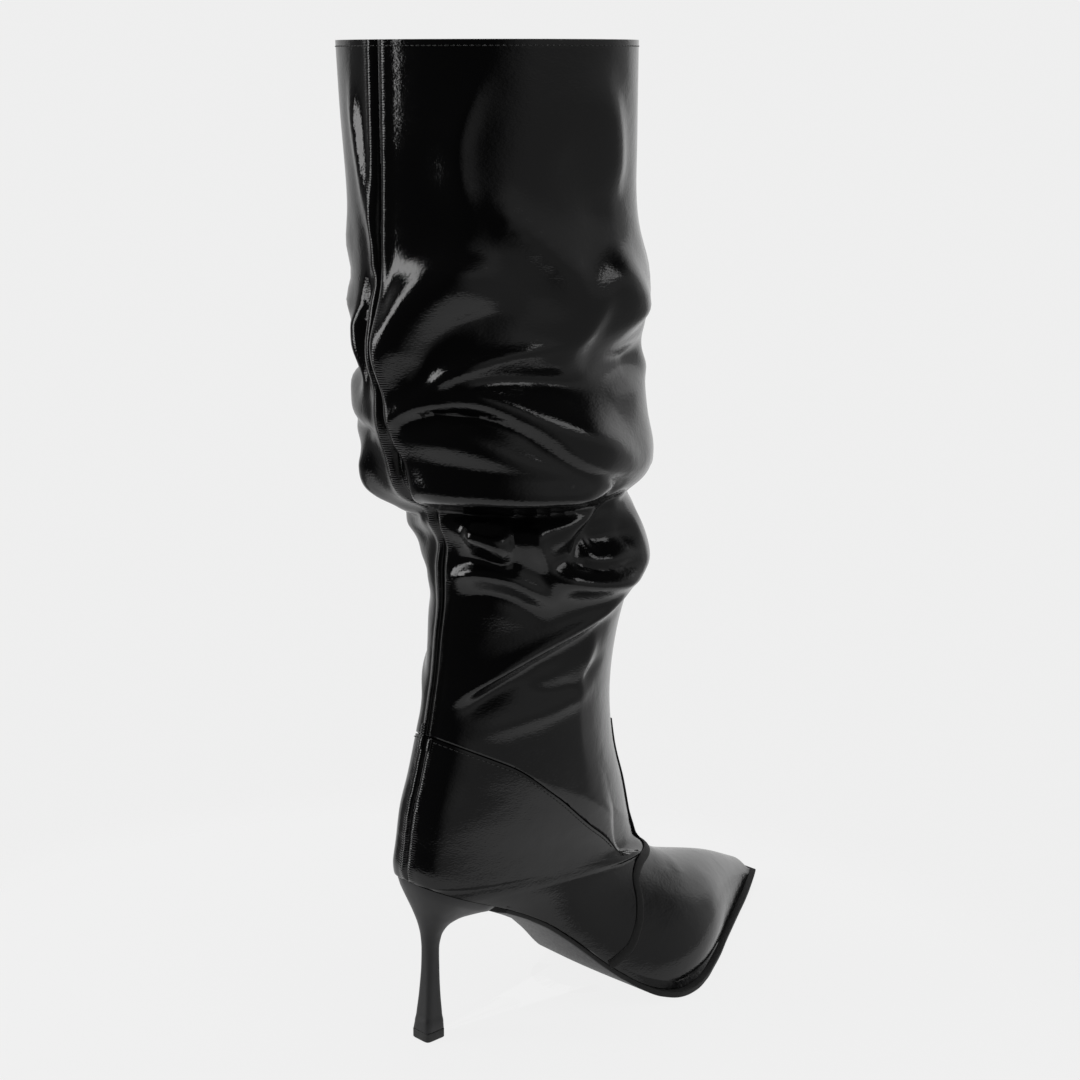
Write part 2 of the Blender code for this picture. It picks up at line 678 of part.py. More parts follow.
def build():
    clear_scene()
    patent = make_material("patent black", (0.006, 0.006, 0.007), 0.12, 1.0)
    satin = make_material("satin black", (0.012, 0.012, 0.013), 0.42)
    rubber = make_material("tip rubber", (0.02, 0.02, 0.02), 0.6)
    lining = make_material("sock lining", (0.05, 0.047, 0.045), 0.8)
    band = make_material("matte piping", (0.008, 0.008, 0.008), 0.7)
    make_upper(patent)
    make_shaft(patent)
    make_outsole(satin)
    make_insole(lining)
    make_heel(satin)
    make_heel_tip(rubber)
    make_vamp_piping(band)
    make_front_piping(band)


build()
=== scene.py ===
# Looks of the slouchy patent boot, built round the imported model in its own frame.
# X runs to the toe, Y to the inner side of the leg, Z up, in metres.

import math

import bmesh
import bpy
import numpy as np
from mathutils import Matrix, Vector


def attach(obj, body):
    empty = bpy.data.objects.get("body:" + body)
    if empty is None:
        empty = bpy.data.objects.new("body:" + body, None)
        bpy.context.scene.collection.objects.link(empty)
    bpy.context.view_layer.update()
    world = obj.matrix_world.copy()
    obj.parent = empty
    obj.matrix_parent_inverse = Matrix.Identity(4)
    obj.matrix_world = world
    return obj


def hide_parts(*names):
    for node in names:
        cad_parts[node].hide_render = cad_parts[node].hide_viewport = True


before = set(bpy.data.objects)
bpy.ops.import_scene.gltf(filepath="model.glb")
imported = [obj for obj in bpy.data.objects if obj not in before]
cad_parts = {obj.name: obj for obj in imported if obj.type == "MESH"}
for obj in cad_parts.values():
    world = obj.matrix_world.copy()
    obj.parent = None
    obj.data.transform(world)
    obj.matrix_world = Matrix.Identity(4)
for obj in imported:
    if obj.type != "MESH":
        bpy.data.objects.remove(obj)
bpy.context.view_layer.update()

# Sizes of the boot, as in the model
FOOT_LENGTH = 0.265
BALL_WIDTH = 0.082
HEEL_HEIGHT = 0.0812
INSTEP_HEIGHT = 0.060
SEAT_OVERHANG = 0.012
SEAT_RADIUS = 0.0215
SEAT_LENGTH = 0.042
SEAT_SLOPE = 0.45
TOE_SPRING = 0.0052
CREST_LEAN = 0.0326
QUARTER_RISE = 0.0668
SHAFT_RISE = 0.309
SHAFT_LENGTH = 0.126
SHAFT_WIDTH = 0.137
FOLD_DEPTH = 0.010
FOLD_HEIGHT = 0.012
UPPER_WALL = 0.0014
SHAFT_WALL = 0.0013
FIT_GAP = 0.0003
LAP_GAP = 0.0002
TREAD_THICKNESS = 0.0034
WAIST_THICKNESS = 0.0022
WAIST_CROWN = 0.0030
SOLE_OVERHANG = 0.0018
PIPING_THICKNESS = 0.0010
TIP_SIZE = 0.0113
TIP_THICKNESS = 0.0045
HEEL_WAIST = 0.0072
STEM_LEAN = 0.0012
TIP_BLUNTNESS = 9.0
SEAT_BLUNTNESS = 4.5
ROUNDER_BACK = 0.6
SEAT_ROUNDER = 0.1

# Derived places
TREAD_TOP = TREAD_THICKNESS + FIT_GAP
QUARTER_TOP = HEEL_HEIGHT + QUARTER_RISE
RIM_TOP = QUARTER_TOP + SHAFT_RISE
SEAT_CENTRE = SEAT_RADIUS - SEAT_OVERHANG
BREAST = SEAT_LENGTH / FOOT_LENGTH
TREAD_START = 0.530
TREAD_END = 0.740
WAIST_END = 0.33
WAIST_BLEND = 0.12
LEAN_START = 0.60
LEAN_SPAN = 0.62

# Edge of the sole from above: station along the foot as a share of its length, then the middle line
# and the half width as shares of the ball width
OUTLINE = (
    (BREAST, -0.012, 0.254),
    (0.215, -0.023, 0.244),
    (0.264, -0.043, 0.256),
    (0.302, -0.072, 0.279),
    (0.340, -0.105, 0.307),
    (0.377, -0.128, 0.353),
    (0.415, -0.140, 0.402),
    (0.453, -0.146, 0.454),
    (0.491, -0.144, 0.492),
    (0.536, -0.122, 0.500),
    (0.585, -0.087, 0.480),
    (0.630, -0.051, 0.444),
    (0.687, -0.010, 0.388),
    (0.743, 0.032, 0.324),
    (0.800, 0.071, 0.261),
    (0.857, 0.107, 0.198),
    (0.913, 0.140, 0.137),
    (0.958, 0.170, 0.086),
    (1.000, 0.199, 0.036),
)

# Arch of the sole from the side, in front of the seat: station, and rise over the tread as a share
# of the heel height
ARCH = (
    (0.211, 0.632),
    (0.257, 0.539),
    (0.294, 0.441),
    (0.325, 0.346),
    (0.355, 0.250),
    (0.385, 0.164),
    (0.415, 0.094),
    (0.445, 0.043),
    (0.483, 0.011),
    (TREAD_START, 0.0),
    (TREAD_END, 0.0),
)

# Sections of the foot, fanned from the toe to the back of the seat. Each runs from the sole's edge at
# one station up to the crest at another: bottom station, crest station, crest height as a share of the
# instep height, breadth as a share of the sole's half width there, bluntness of the curve
FOOT_SECTIONS = (
    (1.000, 1.0015, 0.153, 1.00, 2.0),
    (0.994, 1.0015, 0.205, 1.02, 2.1),
    (0.966, 0.976, 0.262, 1.04, 2.2),
    (0.921, 0.925, 0.372, 1.035, 2.2),
    (0.853, 0.864, 0.503, 1.04, 2.1),
    (0.770, 0.802, 0.608, 1.04, 2.05),
    (0.672, 0.743, 0.692, 1.04, 2.0),
    (0.566, 0.692, 0.765, 1.035, 2.0),
    (0.453, 0.653, 0.833, 1.07, 2.0),
    (0.340, 0.625, 0.893, 1.22, 2.0),
    (0.226, 0.608, 0.938, 1.28, 2.1),
    (0.136, 0.597, 0.970, 1.18, 2.5),
    (0.081, 0.591, 0.992, 1.14, 3.4),
    (0.0404, 0.585, 1.013, 1.14, 4.2),
    (0.0109, 0.580, 1.037, 1.14, 4.0),
    (0.0, 0.574, 1.067, 1.14, 3.5),
)

# Sections of the counter, closed rings from the seat to the quarter's top: back station, back height
# as a share of the quarter's rise, front station, front height as a share of the way from the instep
# to the rim, half width as a share of the seat's radius, bluntness at the back and at the front
COUNTER_SECTIONS = (
    (-0.006, 0.102, 0.570, 0.015, 1.144, 3.2, 1.9),
    (-0.001, 0.251, 0.566, 0.021, 1.163, 3.0, 1.9),
    (0.008, 0.476, 0.562, 0.028, 1.233, 2.8, 1.85),
    (0.027, 0.731, 0.558, 0.034, 1.326, 2.5, 1.8),
    (0.045, 1.000, 0.551, 0.045, 1.419, 2.3, 1.8),
)

# Sections of the shaft: back place as a share of the shaft's length behind or before the seat's back,
# back height as a share of the shaft's rise over the quarter, front place, front height as a share of
# the way from the instep to the rim, width as a share of the shaft's width, bluntness back and front
SHAFT_SECTIONS = (
    (0.117, 0.042, 1.119, 0.093, 0.445, 2.2, 1.8),
    (0.139, 0.091, 1.060, 0.151, 0.445, 2.1, 1.8),
    (0.155, 0.152, 1.028, 0.222, 0.475, 2.0, 1.85),
    (0.171, 0.214, 1.024, 0.297, 0.570, 2.0, 1.9),
    (0.167, 0.272, 1.032, 0.373, 0.672, 2.0, 2.0),
    (0.095, 0.346, 1.024, 0.448, 0.760, 2.0, 2.0),
    (-0.016, 0.421, 1.032, 0.524, 0.818, 2.0, 2.0),
    (-0.103, 0.498, 1.040, 0.597, 0.832, 2.0, 2.0),
    (-0.127, 0.589, 1.040, 0.675, 0.818, 2.0, 2.0),
    (-0.115, 0.693, 1.000, 0.761, 0.847, 2.0, 2.0),
    (-0.115, 0.803, 0.937, 0.846, 0.905, 2.0, 2.0),
    (-0.119, 0.906, 0.897, 0.927, 0.964, 2.0, 2.0),
    (-0.123, 1.000, 0.877, 1.000, 1.000, 2.0, 2.0),
)

# Folds of the slouched shaft. Degrees round the leg from the back seam, positive on the outer side;
# height as a share of the shaft's rise; half reach in degrees; climb as a share of the rise per
# quarter turn; depth and half height as shares of the fold's sizes; sag as a share of its depth
FOLDS = (
    (95, 0.770, 42, -0.02, -0.30, 1.80, 0.0),
    (112, 0.655, 40, 0.02, 0.50, 1.50, 0.3),
    (112, 0.540, 36, 0.02, -0.55, 0.75, 0.0),
    (60, 0.525, 34, -0.05, -0.50, 0.75, 0.0),
    (84, 0.440, 62, -0.04, 0.80, 1.20, 0.9),
    (30, 0.340, 75, -0.02, -0.75, 0.60, 0.0),
    (140, 0.345, 60, 0.00, -0.70, 0.60, 0.0),
    (84, 0.290, 26, 0.10, -0.75, 0.60, 0.0),
    (118, 0.255, 42, 0.02, 0.75, 1.00, 0.6),
    (70, 0.140, 62, 0.13, 0.35, 0.75, 0.3),
    (60, 0.085, 50, 0.13, -0.25, 0.70, 0.0),
    (-28, 0.385, 34, 0.02, 0.85, 1.35, 0.7),
    (-20, 0.295, 40, 0.00, -0.35, 0.70, 0.0),
    (-50, 0.560, 42, -0.06, -0.70, 0.70, 0.0),
    (-75, 0.490, 55, -0.04, 0.70, 1.00, 0.8),
    (-100, 0.400, 48, 0.03, -0.75, 0.65, 0.0),
    (-105, 0.325, 52, 0.00, 0.70, 1.00, 0.7),
    (-85, 0.240, 55, -0.06, -0.60, 0.70, 0.0),
    (-110, 0.160, 55, -0.10, 0.40, 0.90, 0.3),
    (-120, 0.700, 45, 0.04, 0.40, 1.60, 0.2),
    (175, 0.430, 34, 0.00, 0.50, 1.10, 0.6),
    (175, 0.600, 34, 0.00, -0.40, 0.90, 0.0),
    (178, 0.235, 30, 0.00, -0.45, 0.80, 0.0),
)

# Top edge of the upper over the shaft: share of the way from the back seam to the front, section
# that it follows there, and how many sections the shaft reaches down inside it
TOP_EDGE = (
    (0.00, 20.0, 0.45),
    (0.30, 20.0, 0.45),
    (0.45, 19.5, 0.50),
    (0.585, 18.35, 0.90),
    (0.62, 17.9, 1.00),
    (0.66, 17.0, 1.60),
    (0.69, 15.2, 2.20),
    (0.72, 11.6, 2.40),
    (0.76, 11.3, 2.40),
    (0.86, 11.9, 2.40),
    (1.00, 13.1, 3.20),
)

# Piping along the vamp's edge: share of the way from the sole's edge to the throat, and section
PIPING_PATH = (
    (0.02, 8.80),
    (0.12, 8.81),
    (0.26, 8.96),
    (0.39, 9.29),
    (0.52, 9.95),
    (0.66, 10.75),
    (0.80, 11.20),
    (1.00, 12.55),
)

# Sections of the heel from the tip up: height as a share of the seat's middle height, flare of the
# stem towards the tip, spread of the cup towards the seat, bluntness, tilt as a share of the seat's
HEEL_SECTIONS = (
    (0.175, 0.62, 0.00, 6.0, 0.0),
    (0.310, 0.28, 0.00, 5.0, 0.0),
    (0.480, 0.05, 0.00, 4.0, 0.0),
    (0.620, 0.00, 0.01, 3.0, 0.0),
    (0.710, 0.00, 0.06, 2.6, 0.08),
    (0.785, 0.00, 0.19, 2.3, 0.3),
    (0.850, 0.00, 0.40, 2.45, 0.6),
    (0.905, 0.00, 0.64, 3.2, 0.85),
    (0.955, 0.00, 0.88, 4.0, 1.0),
)

# Creases and rolls of the shaft, from a start over a middle to an end. Each place is degrees round the
# leg from the back seam, positive on the outer side, and height as a share of the shaft's rise. Then
# depth as a share of the fold depth, spread above and below the line in shares of the fold height,
# and how sharp the line is
CREASES = (
    # Tall panel of the outer side, over the slouch
    ((50, 0.985), (35, 0.850), (48, 0.745), 0.30, 0.80, 0.40, 0.5),
    ((38, 0.800), (66, 0.728), (90, 0.648), 0.44, 0.85, 0.36, 0.6),
    ((22, 0.880), (24, 0.800), (40, 0.730), -0.20, 0.90, 0.90, 0.0),
    ((30, 0.740), (58, 0.690), (80, 0.625), -0.26, 0.55, 0.75, 0.0),
    ((84, 0.980), (100, 0.880), (104, 0.760), 0.30, 0.60, 0.90, 0.2),
    ((70, 0.860), (88, 0.800), (100, 0.730), -0.18, 0.70, 0.90, 0.0),
    ((90, 0.680), (89, 0.630), (80, 0.570), 0.30, 0.70, 0.40, 0.3),
    ((2, 0.480), (20, 0.655), (72, 0.700), 0.85, 0.90, 1.10, 0.1),
    ((14, 0.470), (32, 0.600), (72, 0.630), -0.34, 0.60, 0.80, 0.0),
    ((94, 0.720), (106, 0.655), (116, 0.590), 0.60, 1.00, 1.00, 0.0),
    ((82, 0.590), (106, 0.560), (146, 0.560), -0.36, 0.60, 0.70, 0.1),
    ((10, 0.500), (45, 0.568), (88, 0.585), 0.24, 0.34, 0.28, 0.5),
    ((22, 0.520), (56, 0.545), (92, 0.525), -0.34, 0.40, 0.42, 0.2),
    ((4, 0.470), (12, 0.500), (34, 0.520), 0.24, 0.40, 0.40, 0.3),
    ((22, 0.548), (62, 0.508), (112, 0.425), 0.80, 0.85, 0.60, 0.2),
    ((40, 0.500), (70, 0.462), (98, 0.412), 0.20, 0.50, 0.24, 0.5),
    # Dark pillow and the sharp line round it
    ((-2, 0.462), (42, 0.500), (84, 0.415), -0.60, 0.28, 0.55, 0.7),
    ((74, 0.450), (96, 0.380), (56, 0.350), -0.30, 0.34, 0.34, 0.6),
    ((-16, 0.368), (44, 0.370), (104, 0.372), 1.35, 1.15, 0.36, 0.1),
    ((-2, 0.342), (44, 0.336), (100, 0.346), -0.50, 0.34, 0.36, 0.6),
    ((16, 0.318), (30, 0.306), (46, 0.292), 0.36, 0.50, 0.50, 0.0),
    ((46, 0.324), (72, 0.324), (98, 0.336), 0.24, 0.26, 0.34, 0.3),
    # Notched pocket at the front of the outer side, with the lobe under it
    ((116, 0.366), (92, 0.318), (72, 0.270), -0.46, 0.34, 0.34, 0.7),
    ((70, 0.270), (92, 0.256), (124, 0.268), -0.44, 0.30, 0.26, 0.7),
    ((84, 0.290), (102, 0.292), (124, 0.300), -0.55, 0.45, 0.45, 0.1),
    ((58, 0.262), (86, 0.232), (126, 0.232), 0.50, 0.50, 0.60, 0.2),
    ((62, 0.330), (56, 0.285), (70, 0.240), 0.26, 0.34, 0.34, 0.2),
    ((44, 0.336), (43, 0.290), (43, 0.246), -0.26, 0.18, 0.18, 0.7),
    ((12, 0.312), (30, 0.300), (40, 0.262), 0.26, 0.55, 0.45, 0.1),
    ((4, 0.262), (26, 0.268), (46, 0.250), -0.20, 0.30, 0.30, 0.2),
    # Long rolls of the ankle's outer side
    ((2, 0.232), (38, 0.248), (74, 0.180), 0.34, 0.34, 0.42, 0.3),
    ((8, 0.205), (40, 0.214), (68, 0.164), -0.20, 0.34, 0.40, 0.1),
    ((124, 0.210), (74, 0.150), (8, 0.034), 0.30, 0.34, 0.30, 0.4),
    ((112, 0.172), (64, 0.104), (16, 0.020), -0.24, 0.40, 0.50, 0.1),
    ((100, 0.150), (96, 0.090), (90, 0.050), 0.14, 0.40, 0.40, 0.2),
    ((30, 0.012), (72, 0.026), (112, 0.052), 0.16, 0.55, 0.45, 0.1),
    ((54, 0.080), (84, 0.060), (118, 0.100), -0.14, 0.40, 0.40, 0.1),
    # Back bulb on the inner side of the seam, and the flap over it
    ((-3, 0.470), (3, 0.410), (-2, 0.340), -0.42, 0.22, 0.22, 0.7),
    ((-12, 0.450), (-26, 0.390), (-14, 0.330), 0.46, 0.60, 0.50, 0.2),
    ((-4, 0.470), (-30, 0.470), (-60, 0.500), -0.40, 0.34, 0.40, 0.6),
    ((-8, 0.340), (-36, 0.322), (-70, 0.350), -0.50, 0.32, 0.32, 0.7),
    ((-18, 0.990), (-12, 0.840), (2, 0.700), 0.22, 0.34, 0.34, 0.3),
    ((3, 0.690), (-12, 0.630), (-10, 0.500), -0.34, 0.26, 0.30, 0.5),
    ((-14, 0.640), (-20, 0.580), (-14, 0.500), 0.26, 0.34, 0.40, 0.1),
    # Slouch of the inner side
    ((-22, 0.740), (-60, 0.700), (-108, 0.660), 0.24, 1.00, 0.80, 0.0),
    ((-14, 0.600), (-58, 0.650), (-108, 0.590), 0.30, 0.60, 0.50, 0.2),
    ((-20, 0.560), (-62, 0.590), (-112, 0.540), -0.40, 0.32, 0.36, 0.6),
    ((-24, 0.505), (-70, 0.530), (-116, 0.470), 0.42, 0.60, 0.50, 0.1),
    ((-40, 0.450), (-80, 0.470), (-120, 0.410), -0.45, 0.30, 0.34, 0.7),
    ((-30, 0.410), (-72, 0.410), (-118, 0.360), 0.36, 0.55, 0.55, 0.1),
    ((-60, 0.345), (-90, 0.340), (-126, 0.305), -0.50, 0.30, 0.30, 0.7),
    ((-20, 0.285), (-66, 0.290), (-122, 0.250), 0.38, 0.45, 0.55, 0.2),
    ((-14, 0.240), (-64, 0.225), (-118, 0.205), -0.28, 0.34, 0.40, 0.4),
    ((-120, 0.185), (-72, 0.130), (-10, 0.045), 0.28, 0.40, 0.40, 0.3),
    ((-110, 0.130), (-66, 0.080), (-18, 0.016), -0.18, 0.45, 0.45, 0.1),
    ((-92, 0.300), (-84, 0.272), (-90, 0.240), -0.24, 0.22, 0.22, 0.6),
    # Front of the leg
    ((132, 0.700), (168, 0.680), (214, 0.700), 0.20, 1.00, 0.80, 0.0),
    ((130, 0.560), (172, 0.520), (222, 0.560), 0.28, 0.70, 0.60, 0.1),
    ((134, 0.470), (176, 0.440), (220, 0.470), -0.40, 0.34, 0.40, 0.6),
    ((132, 0.400), (174, 0.375), (222, 0.390), 0.40, 0.60, 0.60, 0.1),
    ((130, 0.318), (172, 0.300), (224, 0.310), -0.46, 0.32, 0.34, 0.6),
    ((132, 0.250), (176, 0.232), (222, 0.250), 0.34, 0.50, 0.55, 0.2),
    ((138, 0.180), (176, 0.160), (216, 0.185), -0.20, 0.45, 0.50, 0.2),
)

# Seams, their gathers, and the cut edges
LEG_RADIUS = 0.058
COUNTER_RADIUS = SEAT_RADIUS * 1.6
SEAM_DEPTH = 0.0016
SEAM_SHOULDER = 0.0009
SEAM_WIDTH = 0.0011
SHOULDER_PLACE = 0.0040
SHOULDER_WIDTH = 0.0022
PUCKER_DEPTH = 0.00010
PUCKER_PITCH = 0.0041
EDGE_ROUND = 0.0005
EDGE_CLOSE = 0.003

# Leaves of the folded tab at the quarter's top: name, side, lower and upper end in sections from the
# quarter's top, and depth of the gathers across it
LEAVES = (
    ("tab_leaf_inner", 1, -0.36, -0.04, 0.06),
    ("tab_leaf_outer", -1, -0.36, -0.02, 0.06),
    ("tab_gathers", 1, -0.05, 0.42, 0.45),
)
LEAF_PLACE = 0.0029
LEAF_WIDTH = 0.0030
LEAF_THICKNESS = 0.0006
LEAF_LIFT = 0.0010
LEAF_RINGS = 49
LEAF_FOLDS = 5
LEAF_SIDES = 16

# Cross-section of a band: across as a share of its half width, up as a share of its thickness
BAND_PROFILE = (
    (-1.0, 0.0),
    (-0.96, 0.5),
    (-0.8, 0.86),
    (-0.4, 1.0),
    (0.4, 1.0),
    (0.8, 0.86),
    (0.96, 0.5),
    (1.0, 0.0),
    (0.5, -0.3),
    (-0.5, -0.3),
)

# Stitches
STITCH_PITCH = 0.0026
STITCH_LENGTH = 0.0021
STITCH_THICKNESS = 0.00062
STITCH_SIZES = {"Pitch": STITCH_PITCH, "Length": STITCH_LENGTH, "Thickness": STITCH_THICKNESS}
RIM_MARGIN = 0.0026
QUARTER_MARGIN = 0.0015
QUARTER_REACH = (0.03, 0.66)

# Fixed values of each finish
FINISHES = {
    "patent faux leather": {"Base Color": (0.0035, 0.0035, 0.0038, 1.0), "IOR": 1.5},
    "satin heel cover": {"Base Color": (0.009, 0.009, 0.010, 1.0), "IOR": 1.48},
    "painted sole": {"IOR": 1.46},
    "inked sole edge": {"Base Color": (0.0035, 0.0035, 0.0035, 1.0), "IOR": 1.42},
    "top piece rubber": {"Roughness": 0.58, "IOR": 1.5},
    "matte band": {"Base Color": (0.005, 0.005, 0.005, 1.0), "IOR": 1.45},
    "knit lining": {"Roughness": 0.85, "Sheen Weight": 0.2},
    "black thread": {"Base Color": (0.012, 0.012, 0.012, 1.0), "Roughness": 0.36},
}

# Camera and studio
CAMERA_BACK = 0.885
CAMERA_ASIDE = 0.014
CAMERA_HEIGHT = 0.450
CAMERA_TURN = math.radians(42.8)
CAMERA_TILT = math.radians(12.7)
CAMERA_LENS = 68.1
CAMERA_SHIFT = (0.0758, -0.0212)
FLOOR_CENTRE = 0.1
FLOOR_RADIUS = 0.60
FLOOR_FADE = 0.28
FLOOR_RINGS = 40
FLOOR_SPOKES = 96
PAPER_TONE = 0.86
WHITE = (1.0, 1.0, 1.0, 1.0)
STUDIO_GLOW = 0.022
SIDE_GLOW = 0.32
BACK_GLOW = 0.44
LEG_HEART = np.array([0.05, 0.0])

# Soft boxes: name, place aside and ahead of the leg as the camera sees it, height, height aimed at,
# width and length, and the brightness that a reflection of it shows
LIGHTS = (
    ("strip", -1.25, -0.12, 0.70, 0.70, 0.40, 1.50, 4.4),
    ("overhead", 0.0, 0.0, 1.45, 0.22, 0.85, 0.85, 3.6),
    ("side window", 0.90, -0.55, 0.97, 0.22, 0.55, 0.40, 2.0),
    ("back window", 0.20, 1.10, 0.87, 0.22, 0.90, 0.50, 1.4),
)

# Rows and columns of the meshes
CLOSE_SHARES = (0.0, 0.0024, 0.0048, 0.0075, 0.0105, 0.0140, 0.0180, 0.0225)
STEEP_SHARES = np.linspace(0.640, 0.740, 28)
EVEN_START = 0.031
LEG_COLUMNS = 92
LEG_ROWS = 158
RIM_ROWS = 26
RIM_BAND = 3.5
UPPER_COLUMNS = 66
TOE_CAP = 1.2
TOE_ROWS = 14
FOOT_ROWS = 92
QUARTER_ROWS = 56
SOLE_COLUMNS = 25
SOLE_ROWS = 150
HEEL_SIDES = 96
HEEL_ROWS = 60
VAMP_BAND_ROWS = 70
FRONT_BAND_ROWS = 60
RIM_POINTS = 130
QUARTER_POINTS = 90
CREASE_STEPS = 25

# Section numbers of places on the form
SEAT_ROW = len(FOOT_SECTIONS) - 1
QUARTER_ROW = SEAT_ROW + len(COUNTER_SECTIONS)
RIM_ROW = QUARTER_ROW + len(SHAFT_SECTIONS)
VAMP_ROW = 8.0
TUCK_ROW = QUARTER_ROW + 2.5
TUCK_FADE = 0.14
PIPING_FOOT = QUARTER_ROW - 7.0
PIPING_HEAD = QUARTER_ROW + 2.4

# Bands, heel and sole, only in the look
FRONT_BAND_SHARES = (0.975, 0.985)
FRONT_BAND_WIDTH = 0.0056
VAMP_BAND_WIDTH = 0.0046
BAND_LIFT = 0.0002
HEEL_ROUND = 0.0003
TIP_ROUND = 0.0004
CUP_INSET = 0.0010
EDGE_GROWTH = 0.0020
EDGE_INSET = 0.0008
SOLE_ROUND = 0.0007
TOE_GROWTH = 0.0009
TOE_TAPER = 0.28

# Narrow front of the ankle, and the evened rows of the toe
PINCH_START = 0.53
PINCH_END = QUARTER_ROW + 6.5
PINCH_BLEND = 3.5
SMOOTH_PASSES = 30
SMOOTH_END = 9.5
SMOOTH_BLEND = 2.5

# Directions on the floor as the camera sees them
AHEAD = np.array([math.sin(CAMERA_TURN), math.cos(CAMERA_TURN), 0.0])
ASIDE = np.array([math.cos(CAMERA_TURN), -math.sin(CAMERA_TURN), 0.0])


class Number:
    """A socket that takes part in Python arithmetic."""

    def __init__(self, recipe, socket):
        self.recipe = recipe
        self.socket = socket

    def combine(self, operation, first, second):
        node = self.recipe.add("ShaderNodeMath", {"operation": operation}, {0: first, 1: second})
        return Number(self.recipe, node.outputs["Value"])

    def __add__(self, other):
        return self.combine("ADD", self, other)

    def __radd__(self, other):
        return self.combine("ADD", other, self)

    def __sub__(self, other):
        return self.combine("SUBTRACT", self, other)

    def __rsub__(self, other):
        return self.combine("SUBTRACT", other, self)

    def __mul__(self, other):
        return self.combine("MULTIPLY", self, other)

    def __rmul__(self, other):
        return self.combine("MULTIPLY", other, self)


class Recipe:
    """The nodes of one finish, of the studio or of a row of stitches."""

    def __init__(self, tree):
        self.tree = tree
        self.nodes = tree.nodes
        self.nodes.clear()

    def add(self, kind, settings=None, values=None):
        """A node of this type, its settings first, then the values or links of its sockets."""
        node = self.nodes.new(kind)
        for key, value in (settings or {}).items():
            setattr(node, key, value)
        for key, value in (values or {}).items():
            socket = node.inputs[key]
            if isinstance(value, Number):
                self.tree.links.new(value.socket, socket)
            elif isinstance(value, bpy.types.NodeSocket):
                self.tree.links.new(value, socket)
            else:
                socket.default_value = value
        return node

    def number(self, kind, output, settings=None, values=None):
        return Number(self, self.add(kind, settings, values).outputs[output])

    def share_of(self, way, axis):
        """How far a direction points along an axis."""
        values = {0: way, 1: tuple(axis)}
        return self.number("ShaderNodeVectorMath", "Value", {"operation": "DOT_PRODUCT"}, values)

    def place(self, stretch=(1.0, 1.0, 1.0)):
        """Object coordinates, stretched along the axes."""
        here = self.add("ShaderNodeTexCoord").outputs["Object"]
        return self.add("ShaderNodeMapping", None, {"Vector": here, "Scale": stretch}).outputs["Vector"]

    def bands(self, direction, scale, distortion=0.0, detail=2.0):
        """Even bands across one direction."""
        values = {"Vector": self.place(), "Scale": scale, "Distortion": distortion, "Detail": detail}
        return self.number("ShaderNodeTexWave", "Fac", {"bands_direction": direction}, values)

    def noise(self, vector, scale, detail=3.0, roughness=0.5):
        values = {"Vector": vector, "Scale": scale, "Detail": detail, "Roughness": roughness}
        return self.number("ShaderNodeTexNoise", "Fac", None, values)

    def between(self, value, low, high, first=0.0, last=1.0):
        """Smooth change from one value to another while the input runs from low to high."""
        values = {"Value": value, "From Min": low, "From Max": high, "To Min": first, "To Max": last}
        return self.number("ShaderNodeMapRange", "Result", {"interpolation_type": "SMOOTHSTEP"}, values)

    def colour(self, share, first, last):
        """Change from one colour to another by a share."""
        values = {0: share, 6: (*first, 1.0), 7: (*last, 1.0)}
        return self.add("ShaderNodeMix", {"data_type": "RGBA"}, values).outputs[2]

    def bump(self, height, distance):
        values = {"Height": height, "Distance": distance, "Strength": 1.0}
        return self.add("ShaderNodeBump", None, values).outputs["Normal"]


def finish_of(name, detail):
    """A material from the fixed values of its shader, then the detail that varies over the surface."""
    material = bpy.data.materials.new(name)
    material.use_nodes = True
    recipe = Recipe(material.node_tree)
    shader = recipe.add("ShaderNodeBsdfPrincipled", None, FINISHES[name])
    recipe.add("ShaderNodeOutputMaterial", None, {"Surface": shader.outputs["BSDF"]})
    for socket, value in detail(recipe).items():
        source = value.socket if isinstance(value, Number) else value
        recipe.tree.links.new(source, shader.inputs[socket])
    return material


def patent_detail(recipe):
    """Crinkled film: fine ripples across the leg, wide soft waves, gathers along the seams."""
    ripples = recipe.noise(recipe.place((1.0, 1.0, 2.2)), scale=620.0, detail=2.0, roughness=0.55)
    pebbles = recipe.noise(recipe.place(), scale=1500.0, detail=1.0)
    waves = recipe.noise(recipe.place((1.0, 1.0, 1.4)), scale=75.0, detail=2.0)
    seams = recipe.number("ShaderNodeAttribute", "Fac", {"attribute_name": "gathers"})
    gathers = recipe.bands("Z", scale=290.0, distortion=1.6, detail=1.0)
    height = ripples * 0.55 + pebbles * 0.12 + waves * 1.5 + gathers * seams * 0.8
    gloss = recipe.between(waves, 0.3, 0.7, 0.075, 0.12)
    return {"Normal": recipe.bump(height, distance=0.00016), "Roughness": gloss}


def satin_detail(recipe):
    """Thin satin cover with a fine grain."""
    grain = recipe.noise(recipe.place(), scale=2600.0, detail=2.0)
    cloud = recipe.noise(recipe.place(), scale=160.0, detail=2.0)
    roughness = recipe.between(cloud, 0.3, 0.7, 0.34, 0.42)
    return {"Normal": recipe.bump(grain + cloud * 0.6, distance=0.00005), "Roughness": roughness}


